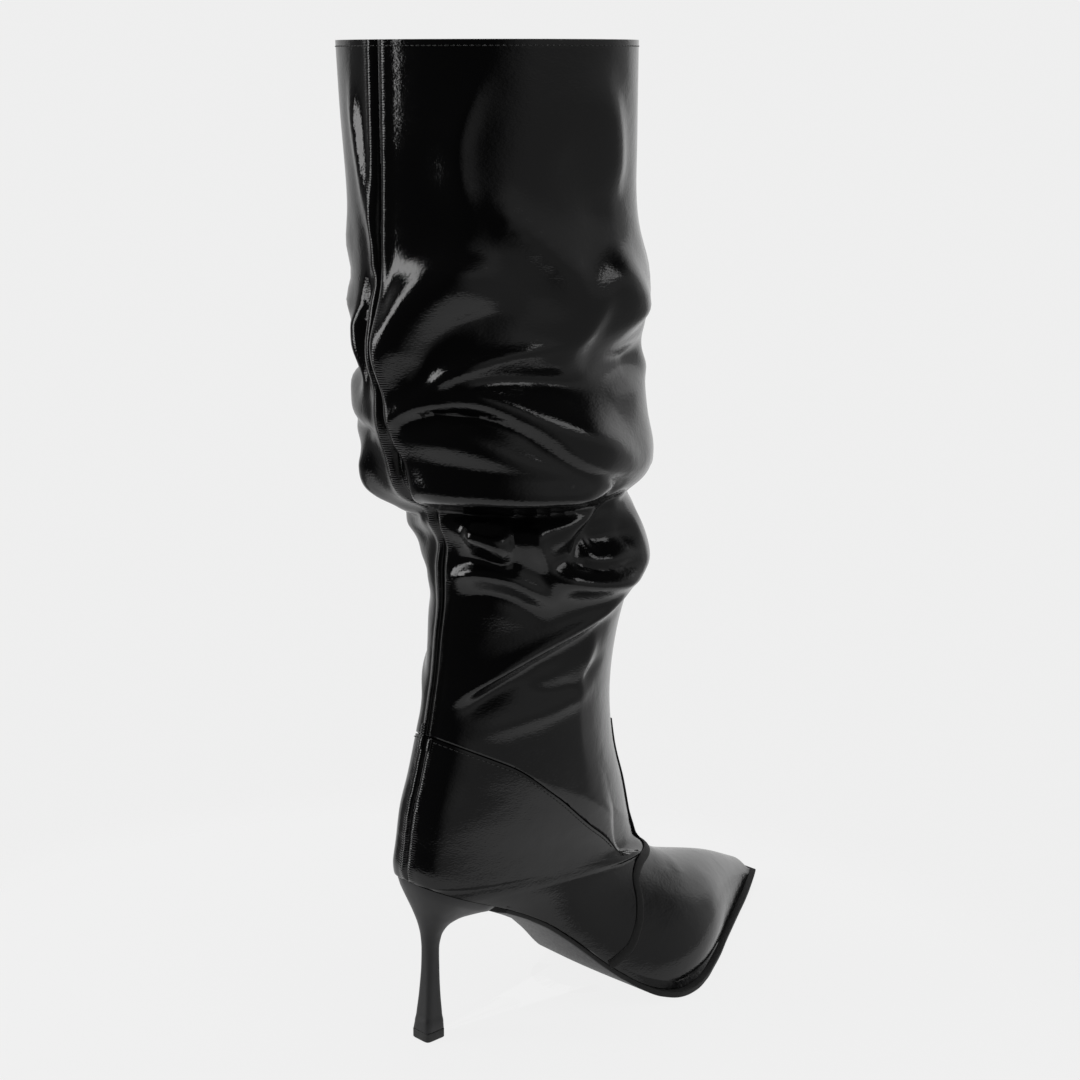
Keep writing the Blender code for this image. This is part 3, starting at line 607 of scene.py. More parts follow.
def sole_detail(recipe):
    """Painted sole with faint strokes along the foot."""
    strokes = recipe.noise(recipe.place((0.15, 1.0, 1.0)), scale=900.0, detail=3.0)
    grain = recipe.noise(recipe.place(), scale=1900.0, detail=2.0)
    share = recipe.between(strokes, 0.35, 0.7)
    colour = recipe.colour(share, (0.010, 0.010, 0.011), (0.017, 0.017, 0.018))
    roughness = recipe.between(strokes, 0.3, 0.7, 0.38, 0.50)
    normal = recipe.bump(grain * 0.7 + strokes * 0.5, distance=0.00006)
    return {"Base Color": colour, "Normal": normal, "Roughness": roughness}


def rubber_detail(recipe):
    """Hard rubber, a little lighter where it is worn."""
    grain = recipe.noise(recipe.place(), scale=2200.0, detail=3.0)
    wear = recipe.noise(recipe.place(), scale=420.0, detail=2.0)
    share = recipe.between(wear, 0.4, 0.75)
    colour = recipe.colour(share, (0.014, 0.014, 0.014), (0.026, 0.026, 0.026))
    return {"Base Color": colour, "Normal": recipe.bump(grain, distance=0.00006)}


def band_detail(recipe):
    """Matte band with a leather grain."""
    grain = recipe.noise(recipe.place(), scale=1700.0, detail=3.0, roughness=0.6)
    roughness = recipe.between(grain, 0.3, 0.7, 0.60, 0.74)
    return {"Normal": recipe.bump(grain, distance=0.00008), "Roughness": roughness}


def lining_detail(recipe):
    """Knitted lining: fine ribs round the leg under a soft nap."""
    ribs = recipe.bands("Z", scale=260.0)
    nap = recipe.noise(recipe.place(), scale=1500.0, detail=3.0)
    colour = recipe.colour(nap, (0.022, 0.021, 0.021), (0.045, 0.043, 0.042))
    return {"Base Color": colour, "Normal": recipe.bump(ribs * 0.5 + nap, distance=0.00012)}


def thread_detail(recipe):
    """Twisted thread."""
    return {"Normal": recipe.bump(recipe.bands("DIAGONAL", scale=900.0), distance=0.00005)}


def column(table, index):
    return np.array([row[index] for row in table], float)


def through(x, places, values):
    """Smooth curve through a table's points that never overshoots them, flat beyond its ends."""
    places = np.asarray(places, float)
    values = np.asarray(values, float)
    steps = np.diff(places)
    slopes = np.diff(values) / steps
    before = slopes[:-1]
    after = slopes[1:]
    tangents = np.zeros_like(values)
    same_way = before * after > 0
    shares = (2 * steps[1:] + steps[:-1]) / (3 * (steps[1:] + steps[:-1]))
    blend = shares * np.where(same_way, after, 1.0) + (1 - shares) * np.where(same_way, before, 1.0)
    tangents[1:-1] = np.where(same_way, before * after / blend, 0.0)
    tangents[0] = slopes[0]
    tangents[-1] = slopes[-1]
    x = np.clip(np.asarray(x, float), places[0], places[-1])
    k = np.clip(np.searchsorted(places, x, side="right") - 1, 0, len(steps) - 1)
    u = (x - places[k]) / steps[k]
    rise = u * u * (3 - 2 * u)
    lift = tangents[k] * (u**3 - 2 * u**2 + u) + tangents[k + 1] * (u**3 - u**2)
    return values[k] * (1 - rise) + values[k + 1] * rise + steps[k] * lift


def soft_step(u):
    u = np.clip(u, 0.0, 1.0)
    return u * u * (3 - 2 * u)


def place(station):
    return station * FOOT_LENGTH - SEAT_OVERHANG


def station_of(x):
    return (x + SEAT_OVERHANG) / FOOT_LENGTH


def half_width(x, inset=0.0):
    """Half width of the sole's edge line: a round seat, then the outline."""
    stations = np.concatenate([[SEAT_RADIUS / FOOT_LENGTH], column(OUTLINE, 0)])
    widths = np.concatenate([[SEAT_RADIUS / BALL_WIDTH], column(OUTLINE, 2)])
    width = BALL_WIDTH * through(station_of(x), stations, widths) - inset
    seat = np.sqrt(np.maximum((SEAT_RADIUS - inset) ** 2 - (SEAT_CENTRE - x) ** 2, 0.0))
    return np.where(x < SEAT_CENTRE, seat, width)


def middle(x):
    stations = np.concatenate([[SEAT_RADIUS / FOOT_LENGTH], column(OUTLINE, 0)])
    lines = np.concatenate([[0.0], column(OUTLINE, 1)])
    return BALL_WIDTH * through(station_of(x), stations, lines)


def sole_line(x):
    """Height of the upper's bottom edge: a sloping flat seat, the arch, the tread and the toe's rise."""
    station = station_of(x)
    seat = HEEL_HEIGHT - SEAT_SLOPE * (x + SEAT_OVERHANG)
    at_breast = (HEEL_HEIGHT - SEAT_SLOPE * SEAT_LENGTH - TREAD_TOP) / HEEL_HEIGHT
    stations = np.concatenate([[BREAST], column(ARCH, 0)])
    rises = np.concatenate([[at_breast], column(ARCH, 1)])
    toe = np.maximum((station - TREAD_END) / (1 - TREAD_END), 0.0)
    arch = TREAD_TOP + HEEL_HEIGHT * through(station, stations, rises) + TOE_SPRING * toe**1.8
    return np.where(station < BREAST, seat, arch)


def section_rows():
    """Each section as back x, back z, front x, front z, half width, bluntness at back and front."""
    rows = []
    leg_rise = RIM_TOP - INSTEP_HEIGHT
    for bottom, crest, rise, breadth, bluntness in FOOT_SECTIONS:
        x = place(bottom)
        width = SEAT_RADIUS if x < SEAT_CENTRE + FIT_GAP else float(half_width(x))
        foot = (x, float(sole_line(x)), place(crest), rise * INSTEP_HEIGHT)
        rows.append((*foot, width * breadth, bluntness, 2.0))
    for back, back_rise, front, front_rise, width, blunt_back, blunt_front in COUNTER_SECTIONS:
        back_z = HEEL_HEIGHT + back_rise * QUARTER_RISE
        front_z = INSTEP_HEIGHT + front_rise * leg_rise
        half = width * SEAT_RADIUS
        rows.append((place(back), back_z, place(front), front_z, half, blunt_back, blunt_front))
    for back, back_rise, front, front_rise, width, blunt_back, blunt_front in SHAFT_SECTIONS:
        back_x = back * SHAFT_LENGTH - SEAT_OVERHANG
        front_x = front * SHAFT_LENGTH - SEAT_OVERHANG
        back_z = QUARTER_TOP + back_rise * SHAFT_RISE
        front_z = INSTEP_HEIGHT + front_rise * leg_rise
        half = width * SHAFT_WIDTH / 2
        rows.append((back_x, back_z, front_x, front_z, half, blunt_back, blunt_front))
    return np.array(rows)


ROWS = section_rows()


def blunt_circle(angle, bluntness):
    return (np.abs(np.cos(angle)) ** bluntness + np.abs(np.sin(angle)) ** bluntness) ** (-1 / bluntness)


def skin(section, side, share):
    """Point of the boot's outer form. Share runs from the sole's edge or back seam to the front."""
    section = np.asarray(section, float)
    share = np.asarray(share, float)
    numbers = np.arange(len(ROWS))
    back_x, back_z, front_x, front_z, half, blunt_back, blunt_front = (
        through(section, numbers, ROWS[:, k]) for k in range(ROWS.shape[1])
    )
    on_sole = section <= SEAT_ROW
    back_z = np.where(on_sole, sole_line(back_x), back_z)
    edge = np.where(on_sole, half_width(back_x), 0.0)
    line = np.where(on_sole, middle(back_x), 0.0)
    half = np.maximum(half, edge * 1.0005 + 1e-6)
    across = edge / half
    start = np.arctan2(across, (1 - across**blunt_back) ** (1 / blunt_back))
    angle = start + (math.pi - start) * share
    radius = blunt_circle(angle, blunt_back + (blunt_front - blunt_back) * soft_step(angle / math.pi))
    first = blunt_circle(start, blunt_back + (blunt_front - blunt_back) * soft_step(start / math.pi))
    reach = np.cos(start) * first
    along = (reach - np.cos(angle) * radius) / (1 + reach)
    to_edge = edge / np.maximum(half * np.sin(start) * first, 1e-9)
    mend = np.where(edge > 1e-6, (to_edge - 1) * (1 - share) ** 2, 0.0)
    out = side * half * np.sin(angle) * radius * (1 + mend)
    lean = CREST_LEAN * soft_step((station_of(front_x) - LEAN_START) / LEAN_SPAN)
    y = line + (lean - line) * along + out
    return np.stack([back_x + (front_x - back_x) * along, y, back_z + (front_z - back_z) * along], axis=-1)


def outward(section, side, share):
    """Unit normal of the form, pointing out."""
    step = 0.004
    low = np.maximum(np.asarray(share, float) - step, 0.0)
    high = np.minimum(np.asarray(share, float) + step, 1.0)
    above = skin(np.minimum(section + step, RIM_ROW), side, share)
    along = above - skin(np.maximum(section - step, 0), side, share)
    around = skin(section, side, high) - skin(section, side, low)
    normal = np.cross(along, around) * np.asarray(side, float)[..., None]
    return normal / np.maximum(np.linalg.norm(normal, axis=-1, keepdims=True), 1e-12)


def edge_section(share):
    return through(share, column(TOP_EDGE, 0), column(TOP_EDGE, 1))


def edge_lap(share):
    return through(share, column(TOP_EDGE, 0), column(TOP_EDGE, 2))


def fold_shift(section, side, share, points):
    """How far the folds push the shaft out, and how far they sag."""
    height = (points[..., 2] - QUARTER_TOP) / SHAFT_RISE
    turn = -side * np.asarray(share, float) * 180.0
    out = np.zeros(height.shape)
    sag = np.zeros(height.shape)
    for centre, level, reach, climb, depth, half, drop in FOLDS:
        away = (turn - centre + 180.0) % 360.0 - 180.0
        window = np.exp(-((away / reach) ** 2) * 1.2)
        offset = (height - level - climb * away / 90.0) * SHAFT_RISE / (half * FOLD_HEIGHT)
        wave = window * np.exp(-(offset**2))
        out += depth * FOLD_DEPTH * wave
        sag += drop * abs(depth) * FOLD_DEPTH * wave
    fade = soft_step((section - QUARTER_ROW - 0.6) / 2.0) * soft_step((RIM_ROW - section) / 2.0)
    return out * fade, sag * fade


def crease_shift(turn, level):
    """How far the creases and rolls push the shaft's face out, at degrees round the leg and a height."""
    out = np.zeros(turn.shape)
    steps = np.linspace(0.0, 1.0, CREASE_STEPS)
    for start, through_point, end, depth, above, below, sharp in CREASES:
        middle_turn = (start[0] + end[0]) / 2
        away = (turn - middle_turn + 180.0) % 360.0 - 180.0
        x = np.radians(away) * LEG_RADIUS
        z = level * SHAFT_RISE
        ends = []
        for point in (start, through_point, end):
            ends.append((math.radians(point[0] - middle_turn) * LEG_RADIUS, point[1] * SHAFT_RISE))
        first, passing, last = (np.array(point) for point in ends)
        pull = 2 * passing - (first + last) / 2
        u = steps[:, None]
        line = (1 - u) ** 2 * first + 2 * u * (1 - u) * pull + u**2 * last
        reach = 3.2 * max(above, below) * FOLD_HEIGHT
        near = (x > line[:, 0].min() - reach) & (x < line[:, 0].max() + reach)
        near &= (z > line[:, 1].min() - reach) & (z < line[:, 1].max() + reach)
        if not near.any():
            continue
        points = np.stack([x[near], z[near]], axis=-1)
        cut = line[1:] - line[:-1]
        offset = points[:, None, :] - line[None, :-1, :]
        along = np.clip((offset * cut).sum(-1) / (cut**2).sum(-1), 0.0, 1.0)
        miss = offset - along[..., None] * cut
        distance = np.linalg.norm(miss, axis=-1)
        nearest = distance.argmin(axis=1)
        rows = np.arange(len(points))
        side = np.sign(cut[nearest, 0] * miss[rows, nearest, 1] - cut[nearest, 1] * miss[rows, nearest, 0])
        if last[0] < first[0]:
            side = -side
        spread = np.where(side > 0, above, below) * FOLD_HEIGHT
        ratio = distance[rows, nearest] / spread
        share = (nearest + along[rows, nearest]) / (len(steps) - 1)
        soft = np.exp(-(ratio**2))
        keen = np.exp(-np.sqrt(ratio**2 + 0.03) * 1.5) * math.exp(0.26)
        fade = soft_step(share / 0.30) * soft_step((1 - share) / 0.30)
        out[near] += depth * FOLD_DEPTH * fade * (soft + (keen - soft) * sharp)
    return out


def leg_face(section, side, share):
    """Point of the shaft's outer face with its folds, creases, back seam and narrow front."""
    points = skin(section, side, share)
    normal = outward(section, side, share)
    above = (section - edge_section(share)) / (TUCK_FADE * edge_lap(share))
    narrow = soft_step((section - edge_section(share)) / PINCH_BLEND)
    narrow = narrow * soft_step((PINCH_END - section) / PINCH_BLEND)
    points[..., 1] *= 1 - np.maximum(share - PINCH_START, 0.0) * narrow
    tuck = (UPPER_WALL + LAP_GAP) * (1 - soft_step(above))
    out, sag = fold_shift(section, side, share, points)
    turn = -side * share * 180.0
    level = (points[..., 2] - QUARTER_TOP) / SHAFT_RISE
    fade = soft_step((section - QUARTER_ROW + 0.2) / 0.8) * soft_step((RIM_ROW - section) / 1.2)
    out = out + crease_shift(turn, level) * fade
    around = share * math.pi * LEG_RADIUS
    groove = SEAM_DEPTH * np.exp(-((around / SEAM_WIDTH) ** 2))
    groove -= SEAM_SHOULDER * np.exp(-(((around - SHOULDER_PLACE) / SHOULDER_WIDTH) ** 2))
    front = (1 - share) * math.pi * LEG_RADIUS
    groove += SEAM_DEPTH / 2 * np.exp(-((front / SEAM_WIDTH) ** 2)) * soft_step(section - PIPING_HEAD)
    flat = normal * np.array([1.0, 1.0, 0.0])
    moved = points + flat * out[..., None] - normal * (tuck + groove * soft_step(above))[..., None]
    moved[..., 2] -= sag
    return moved


def seam_shares(count):
    """Places round the leg from the back seam to the front, close at the seam and at the steep edge."""
    even = np.linspace(EVEN_START, 1.0, count)
    behind = even[even < STEEP_SHARES[0] - EDGE_CLOSE]
    ahead = even[even > STEEP_SHARES[-1] + EDGE_CLOSE]
    return [*CLOSE_SHARES, *behind, *STEEP_SHARES, *ahead]


def mesh_object(name, points, faces, materials):
    data = bpy.data.meshes.new(name)
    data.from_pydata([tuple(point) for point in points], [], faces)
    data.update()
    data.shade_smooth()
    obj = bpy.data.objects.new(name, data)
    bpy.context.scene.collection.objects.link(obj)
    for material in materials:
        data.materials.append(material)
    return obj


def round_edges(obj, width, segments, angle):
    bevel = obj.modifiers.new("edge", "BEVEL")
    bevel.width = width
    bevel.segments = segments
    bevel.limit_method = "ANGLE"
    bevel.angle_limit = math.radians(angle)


def sheet(name, grid, sewn_from, wall, materials, gathers):
    """Hollow piece from a grid of points, sewn into a ring from one row on, with its wall inwards."""
    rows, columns = grid.shape[:2]
    points = grid.reshape(-1, 3)
    number = np.arange(rows * columns).reshape(rows, columns)
    number[sewn_from:, -1] = number[sewn_from:, 0]
    faces = []
    for row in range(rows - 1):
        lower = number[row]
        upper = number[row + 1]
        for k in range(columns - 1):
            corners = (lower[k], lower[k + 1], upper[k + 1], upper[k])
            faces.append(tuple(dict.fromkeys(int(c) for c in corners)))
    used = sorted({c for face in faces for c in face})
    renumber = {old: new for new, old in enumerate(used)}
    faces = [tuple(renumber[c] for c in face) for face in faces]
    obj = mesh_object(name, points[used], faces, materials)
    mark = obj.data.attributes.new("gathers", "FLOAT", "POINT")
    mark.data.foreach_set("value", gathers.reshape(-1)[used])
    solid = obj.modifiers.new("wall", "SOLIDIFY")
    solid.thickness = wall
    solid.offset = -1.0
    solid.material_offset = 1
    round_edges(obj, EDGE_ROUND, 2, 60)
    return obj


def face_out(obj):
    """Turns every face outwards."""
    mesh = bmesh.new()
    mesh.from_mesh(obj.data)
    bmesh.ops.remove_doubles(mesh, verts=mesh.verts, dist=1e-7)
    bmesh.ops.recalc_face_normals(mesh, faces=mesh.faces)
    mesh.to_mesh(obj.data)
    mesh.free()
    return obj


def settle(obj):
    """Makes the modifiers' result the piece's own mesh."""
    graph = bpy.context.evaluated_depsgraph_get()
    data = bpy.data.meshes.new_from_object(obj.evaluated_get(graph))
    obj.modifiers.clear()
    obj.data = data
    return obj


def both_sides(shares):
    outer = [(-1, share) for share in shares]
    inner = [(1, share) for share in reversed(shares[:-1])]
    return outer + inner


def leg_sections(share, count):
    """Sections of the shaft's rows at one place round the leg, from inside the upper to the rim."""
    first = QUARTER_ROW - float(edge_lap(0.0))
    slouch = np.linspace(first, RIM_ROW - RIM_BAND, count)
    numbers = np.concatenate([slouch[:-1], np.linspace(slouch[-1], RIM_ROW, RIM_ROWS)])
    settle_share = 1 - soft_step((numbers - first) / (TUCK_ROW - first))
    return numbers - (first - float(edge_section(share) - edge_lap(share))) * settle_share


def near_seam(around):
    """How much the back seam gathers the skin at a distance round from it."""
    return np.exp(-(((around - SHOULDER_PLACE) / SHOULDER_WIDTH) ** 2))


def grid_places(shares, sections_at):
    """Section, side and share of each point of a grid, column by column round the boot."""
    columns = []
    for side, share in both_sides(shares):
        section = sections_at(share)
        columns.append([section, np.full_like(section, side), np.full_like(section, share)])
    return np.moveaxis(np.array(columns), 0, -1)


def make_shaft(patent, lining):
    section, side, share = grid_places(seam_shares(LEG_COLUMNS), lambda at: leg_sections(at, LEG_ROWS))
    gathers = near_seam(share * math.pi * LEG_RADIUS)
    return sheet("leg", leg_face(section, side, share), 0, SHAFT_WALL, [patent, lining], gathers)


def upper_face(section, side, share):
    """Point of the upper's outer face: the form with the quarter's back seam and its puckers."""
    points = skin(section, side, share)
    normal = outward(section, side, share)
    around = share * math.pi * COUNTER_RADIUS
    on_quarter = soft_step((section - SEAT_ROW) / 0.5)
    groove = SEAM_DEPTH * 0.7 * np.exp(-((around / SEAM_WIDTH) ** 2))
    groove -= SEAM_SHOULDER * 0.6 * np.exp(-(((around - SHOULDER_PLACE * 0.8) / SHOULDER_WIDTH) ** 2))
    pucker = np.exp(-(((around - SHOULDER_PLACE) / (SHOULDER_WIDTH * 1.6)) ** 2))
    ripple = PUCKER_DEPTH * np.sin(points[..., 2] / PUCKER_PITCH * math.pi + side) * pucker
    return points - normal * ((groove + ripple) * on_quarter)[..., None]


def soften(grid, weights, passes):
    """Evens out the rows of a grid by their weights, with its end rows and both its edges held."""
    weight = weights[1:-1, None, None]
    for _ in range(passes):
        even = (grid[:-2] + 2 * grid[1:-1] + grid[2:]) / 4
        grid[1:-1, 1:-1] += ((even - grid[1:-1]) * weight)[:, 1:-1]
    return grid


def upper_sections(numbers, share):
    """Sections of the upper's rows at one place round the boot, up to its top edge."""
    above = np.maximum(numbers - VAMP_ROW, 0.0) / (QUARTER_ROW - VAMP_ROW)
    return np.minimum(numbers, VAMP_ROW) + above * (float(edge_section(share)) - VAMP_ROW)


def make_upper(patent, lining):
    toe = np.linspace(0, TOE_CAP, TOE_ROWS)
    foot = np.linspace(TOE_CAP, SEAT_ROW, FOOT_ROWS)
    quarter = np.linspace(SEAT_ROW, QUARTER_ROW, QUARTER_ROWS)
    numbers = np.concatenate([toe[:-1], foot[:-1], quarter])
    sewn = len(numbers) - QUARTER_ROWS
    section, side, share = grid_places(seam_shares(UPPER_COLUMNS), lambda at: upper_sections(numbers, at))
    weights = 1 - soft_step((numbers - SMOOTH_END) / SMOOTH_BLEND)
    grid = soften(upper_face(section, side, share), weights, SMOOTH_PASSES)
    gathers = near_seam(share * math.pi * COUNTER_RADIUS) * (section > SEAT_ROW)
    upper = settle(sheet("vamp_and_quarter", grid, sewn, UPPER_WALL, [patent, lining], gathers))
    for vertex in upper.data.vertices:
        if vertex.co.z < QUARTER_TOP:
            vertex.co.z = max(vertex.co.z, float(sole_line(vertex.co.x)))
    return upper


def loft(name, rings, material, ease=0.0):
    """Closed body from rings of points, with a flat face on its first and its last ring."""
    count = len(rings[0])
    points = np.concatenate([np.array(ring) for ring in rings])
    faces = []
    for row in range(len(rings) - 1):
        for k in range(count):
            following = (k + 1) % count
            lower = row * count
            upper = lower + count
            faces.append((lower + k, lower + following, upper + following, upper + k))
    faces.append(tuple(reversed(range(count))))
    last = (len(rings) - 1) * count
    faces.append(tuple(last + k for k in range(count)))
    obj = face_out(mesh_object(name, points, faces, [material]))
    if ease:
        round_edges(obj, ease, 3, 50)
    return obj


def sole_place(x):
    """Half width, middle, top and edge thickness of the outsole at one station."""
    inner = min(x, place(1.0))
    forward = float(soft_step((station_of(x) - WAIST_END) / WAIST_BLEND))
    width = float(half_width(inner)) + SOLE_OVERHANG * forward - FIT_GAP * (1 - forward)
    edge = WAIST_THICKNESS + (TREAD_THICKNESS - WAIST_THICKNESS) * forward
    return width, float(middle(inner)), float(sole_line(inner)) - FIT_GAP, edge, forward


def make_outsole(material, edge_ink):
    """Thin sole with a rounded edge, a crowned waist and a flat tread."""
    start = place(BREAST) + FIT_GAP
    end = place(1.0) + SOLE_OVERHANG + TOE_GROWTH
    cross = np.linspace(-1.0, 1.0, SOLE_COLUMNS)
    rings = []
    for x in np.linspace(start, end, SOLE_ROWS):
        width, line, top, edge, forward = sole_place(x)
        width += EDGE_GROWTH * forward
        width *= 1 - TOE_TAPER * float(soft_step((x - place(1.0)) / (end - place(1.0))))
        crown = WAIST_CROWN * (1 - forward)
        ring = [(x, line + width * y, top) for y in cross]
        for y in reversed(cross):
            ring.append((x, line + (width - EDGE_INSET) * y, top - edge - crown * (1 - y * y)))
        rings.append(ring)
    sole = loft("outsole_dressed", rings, material, SOLE_ROUND)
    sole.data.materials.append(edge_ink)
    for face in sole.data.polygons:
        face.material_index = 1 if face.normal.z > -0.4 else 0
    return sole


def turn_angles(count):
    return np.linspace(0.0, 2 * math.pi, count, endpoint=False)


def heel_ring(centre, height, front, back, half, bluntness, tilt, rounder):
    ring = []
    for angle in turn_angles(HEEL_SIDES):
        length = front if math.cos(angle) > 0 else back
        blunt = bluntness if math.cos(angle) > 0 else 2.0 + (bluntness - 2.0) * rounder
        radius = float(blunt_circle(angle, blunt))
        along = length * math.cos(angle) * radius
        ring.append((centre + along, half * math.sin(angle) * radius, height - tilt * along))
    return ring


def make_heel(material):
    """Slim stem that flares to the tip below and to a cup under the seat above."""
    seat_middle = HEEL_HEIGHT - SEAT_SLOPE * (SEAT_CENTRE + SEAT_OVERHANG) - FIT_GAP
    foot = TIP_SIZE / 2 - FIT_GAP / 3
    seat_front = place(BREAST) - SEAT_CENTRE
    rises = column(HEEL_SECTIONS, 0)
    rings = [heel_ring(0.0, TIP_THICKNESS, foot, foot, foot, TIP_BLUNTNESS, 0.0, ROUNDER_BACK)]
    for rise in np.linspace(rises[0] * 0.6, rises[-1], HEEL_ROWS):
        values = (float(through(rise, rises, column(HEEL_SECTIONS, k))) for k in range(1, 5))
        flare, spread, bluntness, tilt = values
        low = float(soft_step((rises[0] - rise) / rises[0] / 0.4))
        flare += (0.92 - flare) * low
        stem = HEEL_WAIST / 2 + (TIP_SIZE - HEEL_WAIST) / 2 * flare
        front = stem + (seat_front - stem) * spread
        back = stem + (SEAT_RADIUS - CUP_INSET - stem) * spread
        centre = SEAT_CENTRE * spread + STEM_LEAN * (1 - spread) * min(rise * 2, 1)
        rounder = ROUNDER_BACK + (SEAT_ROUNDER - ROUNDER_BACK) * spread
        slope = tilt * SEAT_SLOPE
        rings.append(heel_ring(centre, rise * seat_middle, front, back, back, bluntness, slope, rounder))
    cup = SEAT_RADIUS - CUP_INSET
    seat = (SEAT_CENTRE, seat_middle, seat_front, cup, cup, SEAT_BLUNTNESS, SEAT_SLOPE, SEAT_ROUNDER)
    rings.append(heel_ring(*seat))
    return loft("heel_covered", rings, material, HEEL_ROUND)


def make_heel_tip(material):
    half = TIP_SIZE / 2
    heights = (0.0, TIP_THICKNESS / 2, TIP_THICKNESS)
    rings = [heel_ring(0.0, z, half, half, half, TIP_BLUNTNESS, 0.0, ROUNDER_BACK) for z in heights]
    return loft("top_piece", rings, material, TIP_ROUND)


def band(name, points, normals, width, thickness, lift, material):
    """Soft-edged band along a path on the surface."""
    along = np.gradient(points, axis=0)
    across = np.cross(along, normals)
    across = across / np.linalg.norm(across, axis=1, keepdims=True) * width / 2
    rings = []
    for point, side, normal in zip(points, across, normals):
        rings.append([point + side * y + normal * (lift + thickness * z) for y, z in BAND_PROFILE])
    return loft(name, rings, material)


def vamp_piping_path(count):
    shares = np.linspace(0.0, 1.0, count)
    points = []
    normals = []
    for side, share in both_sides(list(shares)):
        section = float(through(share, column(PIPING_PATH, 0), column(PIPING_PATH, 1)))
        points.append(skin(section, side, share))
        normals.append(outward(section, side, share))
    return np.array(points), np.array(normals)


def front_piping_path(count):
    sections = np.linspace(PIPING_FOOT, PIPING_HEAD, count)
    ones = np.ones_like(sections)
    shares = np.linspace(FRONT_BAND_SHARES[0], FRONT_BAND_SHARES[1], count)
    points = leg_face(sections, -ones, shares)
    normals = outward(sections, -1, shares) * np.array([1.0, 1.0, 0.4])
    return points, normals / np.linalg.norm(normals, axis=1, keepdims=True)


def stitch_tree(thread):
    """Nodes that lay one capsule of thread after another along a line."""
    tree = bpy.data.node_groups.new("stitch row", "GeometryNodeTree")
    tree.interface.new_socket("Geometry", in_out="INPUT", socket_type="NodeSocketGeometry")
    for label in STITCH_SIZES:
        tree.interface.new_socket(label, in_out="INPUT", socket_type="NodeSocketFloat")
    tree.interface.new_socket("Geometry", in_out="OUTPUT", socket_type="NodeSocketGeometry")
    recipe = Recipe(tree)
    source = recipe.add("NodeGroupInput").outputs
    curve = recipe.add("GeometryNodeMeshToCurve", None, {"Mesh": source["Geometry"]}).outputs["Curve"]
    spacing = {"Curve": curve, "Length": source["Pitch"]}
    even = recipe.add("GeometryNodeResampleCurve", {"mode": "LENGTH"}, spacing)
    tangent = recipe.add("GeometryNodeInputTangent").outputs["Tangent"]
    turn = recipe.add("FunctionNodeAlignRotationToVector", {"axis": "Z"}, {"Vector": tangent})
    ball = recipe.add("GeometryNodeMeshUVSphere", None, {"Segments": 6, "Rings": 5, "Radius": 0.5})
    thickness = source["Thickness"]
    size = recipe.add("ShaderNodeCombineXYZ", None, {"X": thickness, "Y": thickness, "Z": source["Length"]})
    laid = {
        "Points": even.outputs["Curve"],
        "Instance": ball.outputs["Mesh"],
        "Rotation": turn.outputs["Rotation"],
        "Scale": size.outputs["Vector"],
    }
    row = recipe.add("GeometryNodeInstanceOnPoints", None, laid).outputs["Instances"]
    real = recipe.add("GeometryNodeRealizeInstances", None, {"Geometry": row}).outputs["Geometry"]
    dressed = recipe.add("GeometryNodeSetMaterial", None, {"Geometry": real, "Material": thread})
    recipe.add("NodeGroupOutput", None, {"Geometry": dressed.outputs["Geometry"]})
    return tree


def stitch_row(name, points, tree, thread):
    """Row of stitches along a line of points."""
    data = bpy.data.meshes.new(name)
    edges = [(k, k + 1) for k in range(len(points) - 1)]
    data.from_pydata([tuple(point) for point in points], edges, [])
    obj = bpy.data.objects.new(name, data)
    bpy.context.scene.collection.objects.link(obj)
    modifier = obj.modifiers.new("stitches", "NODES")
    modifier.node_group = tree
    for item in tree.interface.items_tree:
        if item.in_out == "INPUT" and item.name in STITCH_SIZES:
            modifier[item.identifier] = STITCH_SIZES[item.name]
    settle(obj)
    obj.data.materials.clear()
    obj.data.materials.append(thread)
    for face in obj.data.polygons:
        face.material_index = 0
    obj.data.shade_smooth()
    return obj


def leg_line(level_section, lift):
    """Closed line round the leg a little over its face."""
    shares = np.linspace(0.0, 1.0, RIM_POINTS)
    lines = []
    for side in (-1, 1):
        section = np.full_like(shares, level_section)
        sides = np.full_like(shares, side)
        points = leg_face(section, sides, shares) + outward(section, side, shares) * lift
        lines.append(points if side < 0 else points[::-1])
    return np.concatenate([lines[0], lines[1][1:]])


def quarter_line(margin, side):
    """Line along one side of the quarter's top edge, a margin below it."""
    shares = np.linspace(*QUARTER_REACH, QUARTER_POINTS)
    section = edge_section(shares)
    step = 0.02
    above = skin(section, side, shares)
    below = skin(section - step, side, shares)
    per_section = np.linalg.norm(above - below, axis=-1) / step
    section = section - margin / per_section
    raised = outward(section, side, shares) * STITCH_THICKNESS * 0.2
    return upper_face(section, np.full_like(shares, side), shares) + raised


def make_leaf(name, side, low, high, ruffle, material):
    """Leaf of the small folded tab beside the back seam, with gathers across it."""
    rings = []
    share = LEAF_PLACE / (math.pi * COUNTER_RADIUS)
    for height in np.linspace(low, high, LEAF_RINGS):
        section = QUARTER_ROW + height
        normal = outward(section, side, share)
        across = np.cross(normal, (0.0, 0.0, 1.0))
        ease = 1.0 - 0.35 * abs(2 * (height - low) / (high - low) - 1) ** 4
        swell = ease * (1.0 + ruffle * math.sin((height - low) / (high - low) * LEAF_FOLDS * 2 * math.pi))
        centre = skin(section, side, share) + normal * LEAF_LIFT
        ring = []
        for angle in turn_angles(LEAF_SIDES):
            out = normal * LEAF_THICKNESS * swell * math.sin(angle)
            ring.append(centre + across * LEAF_WIDTH / 2 * ease * math.cos(angle) + out)
        rings.append(ring)
    return loft(name, rings, material)


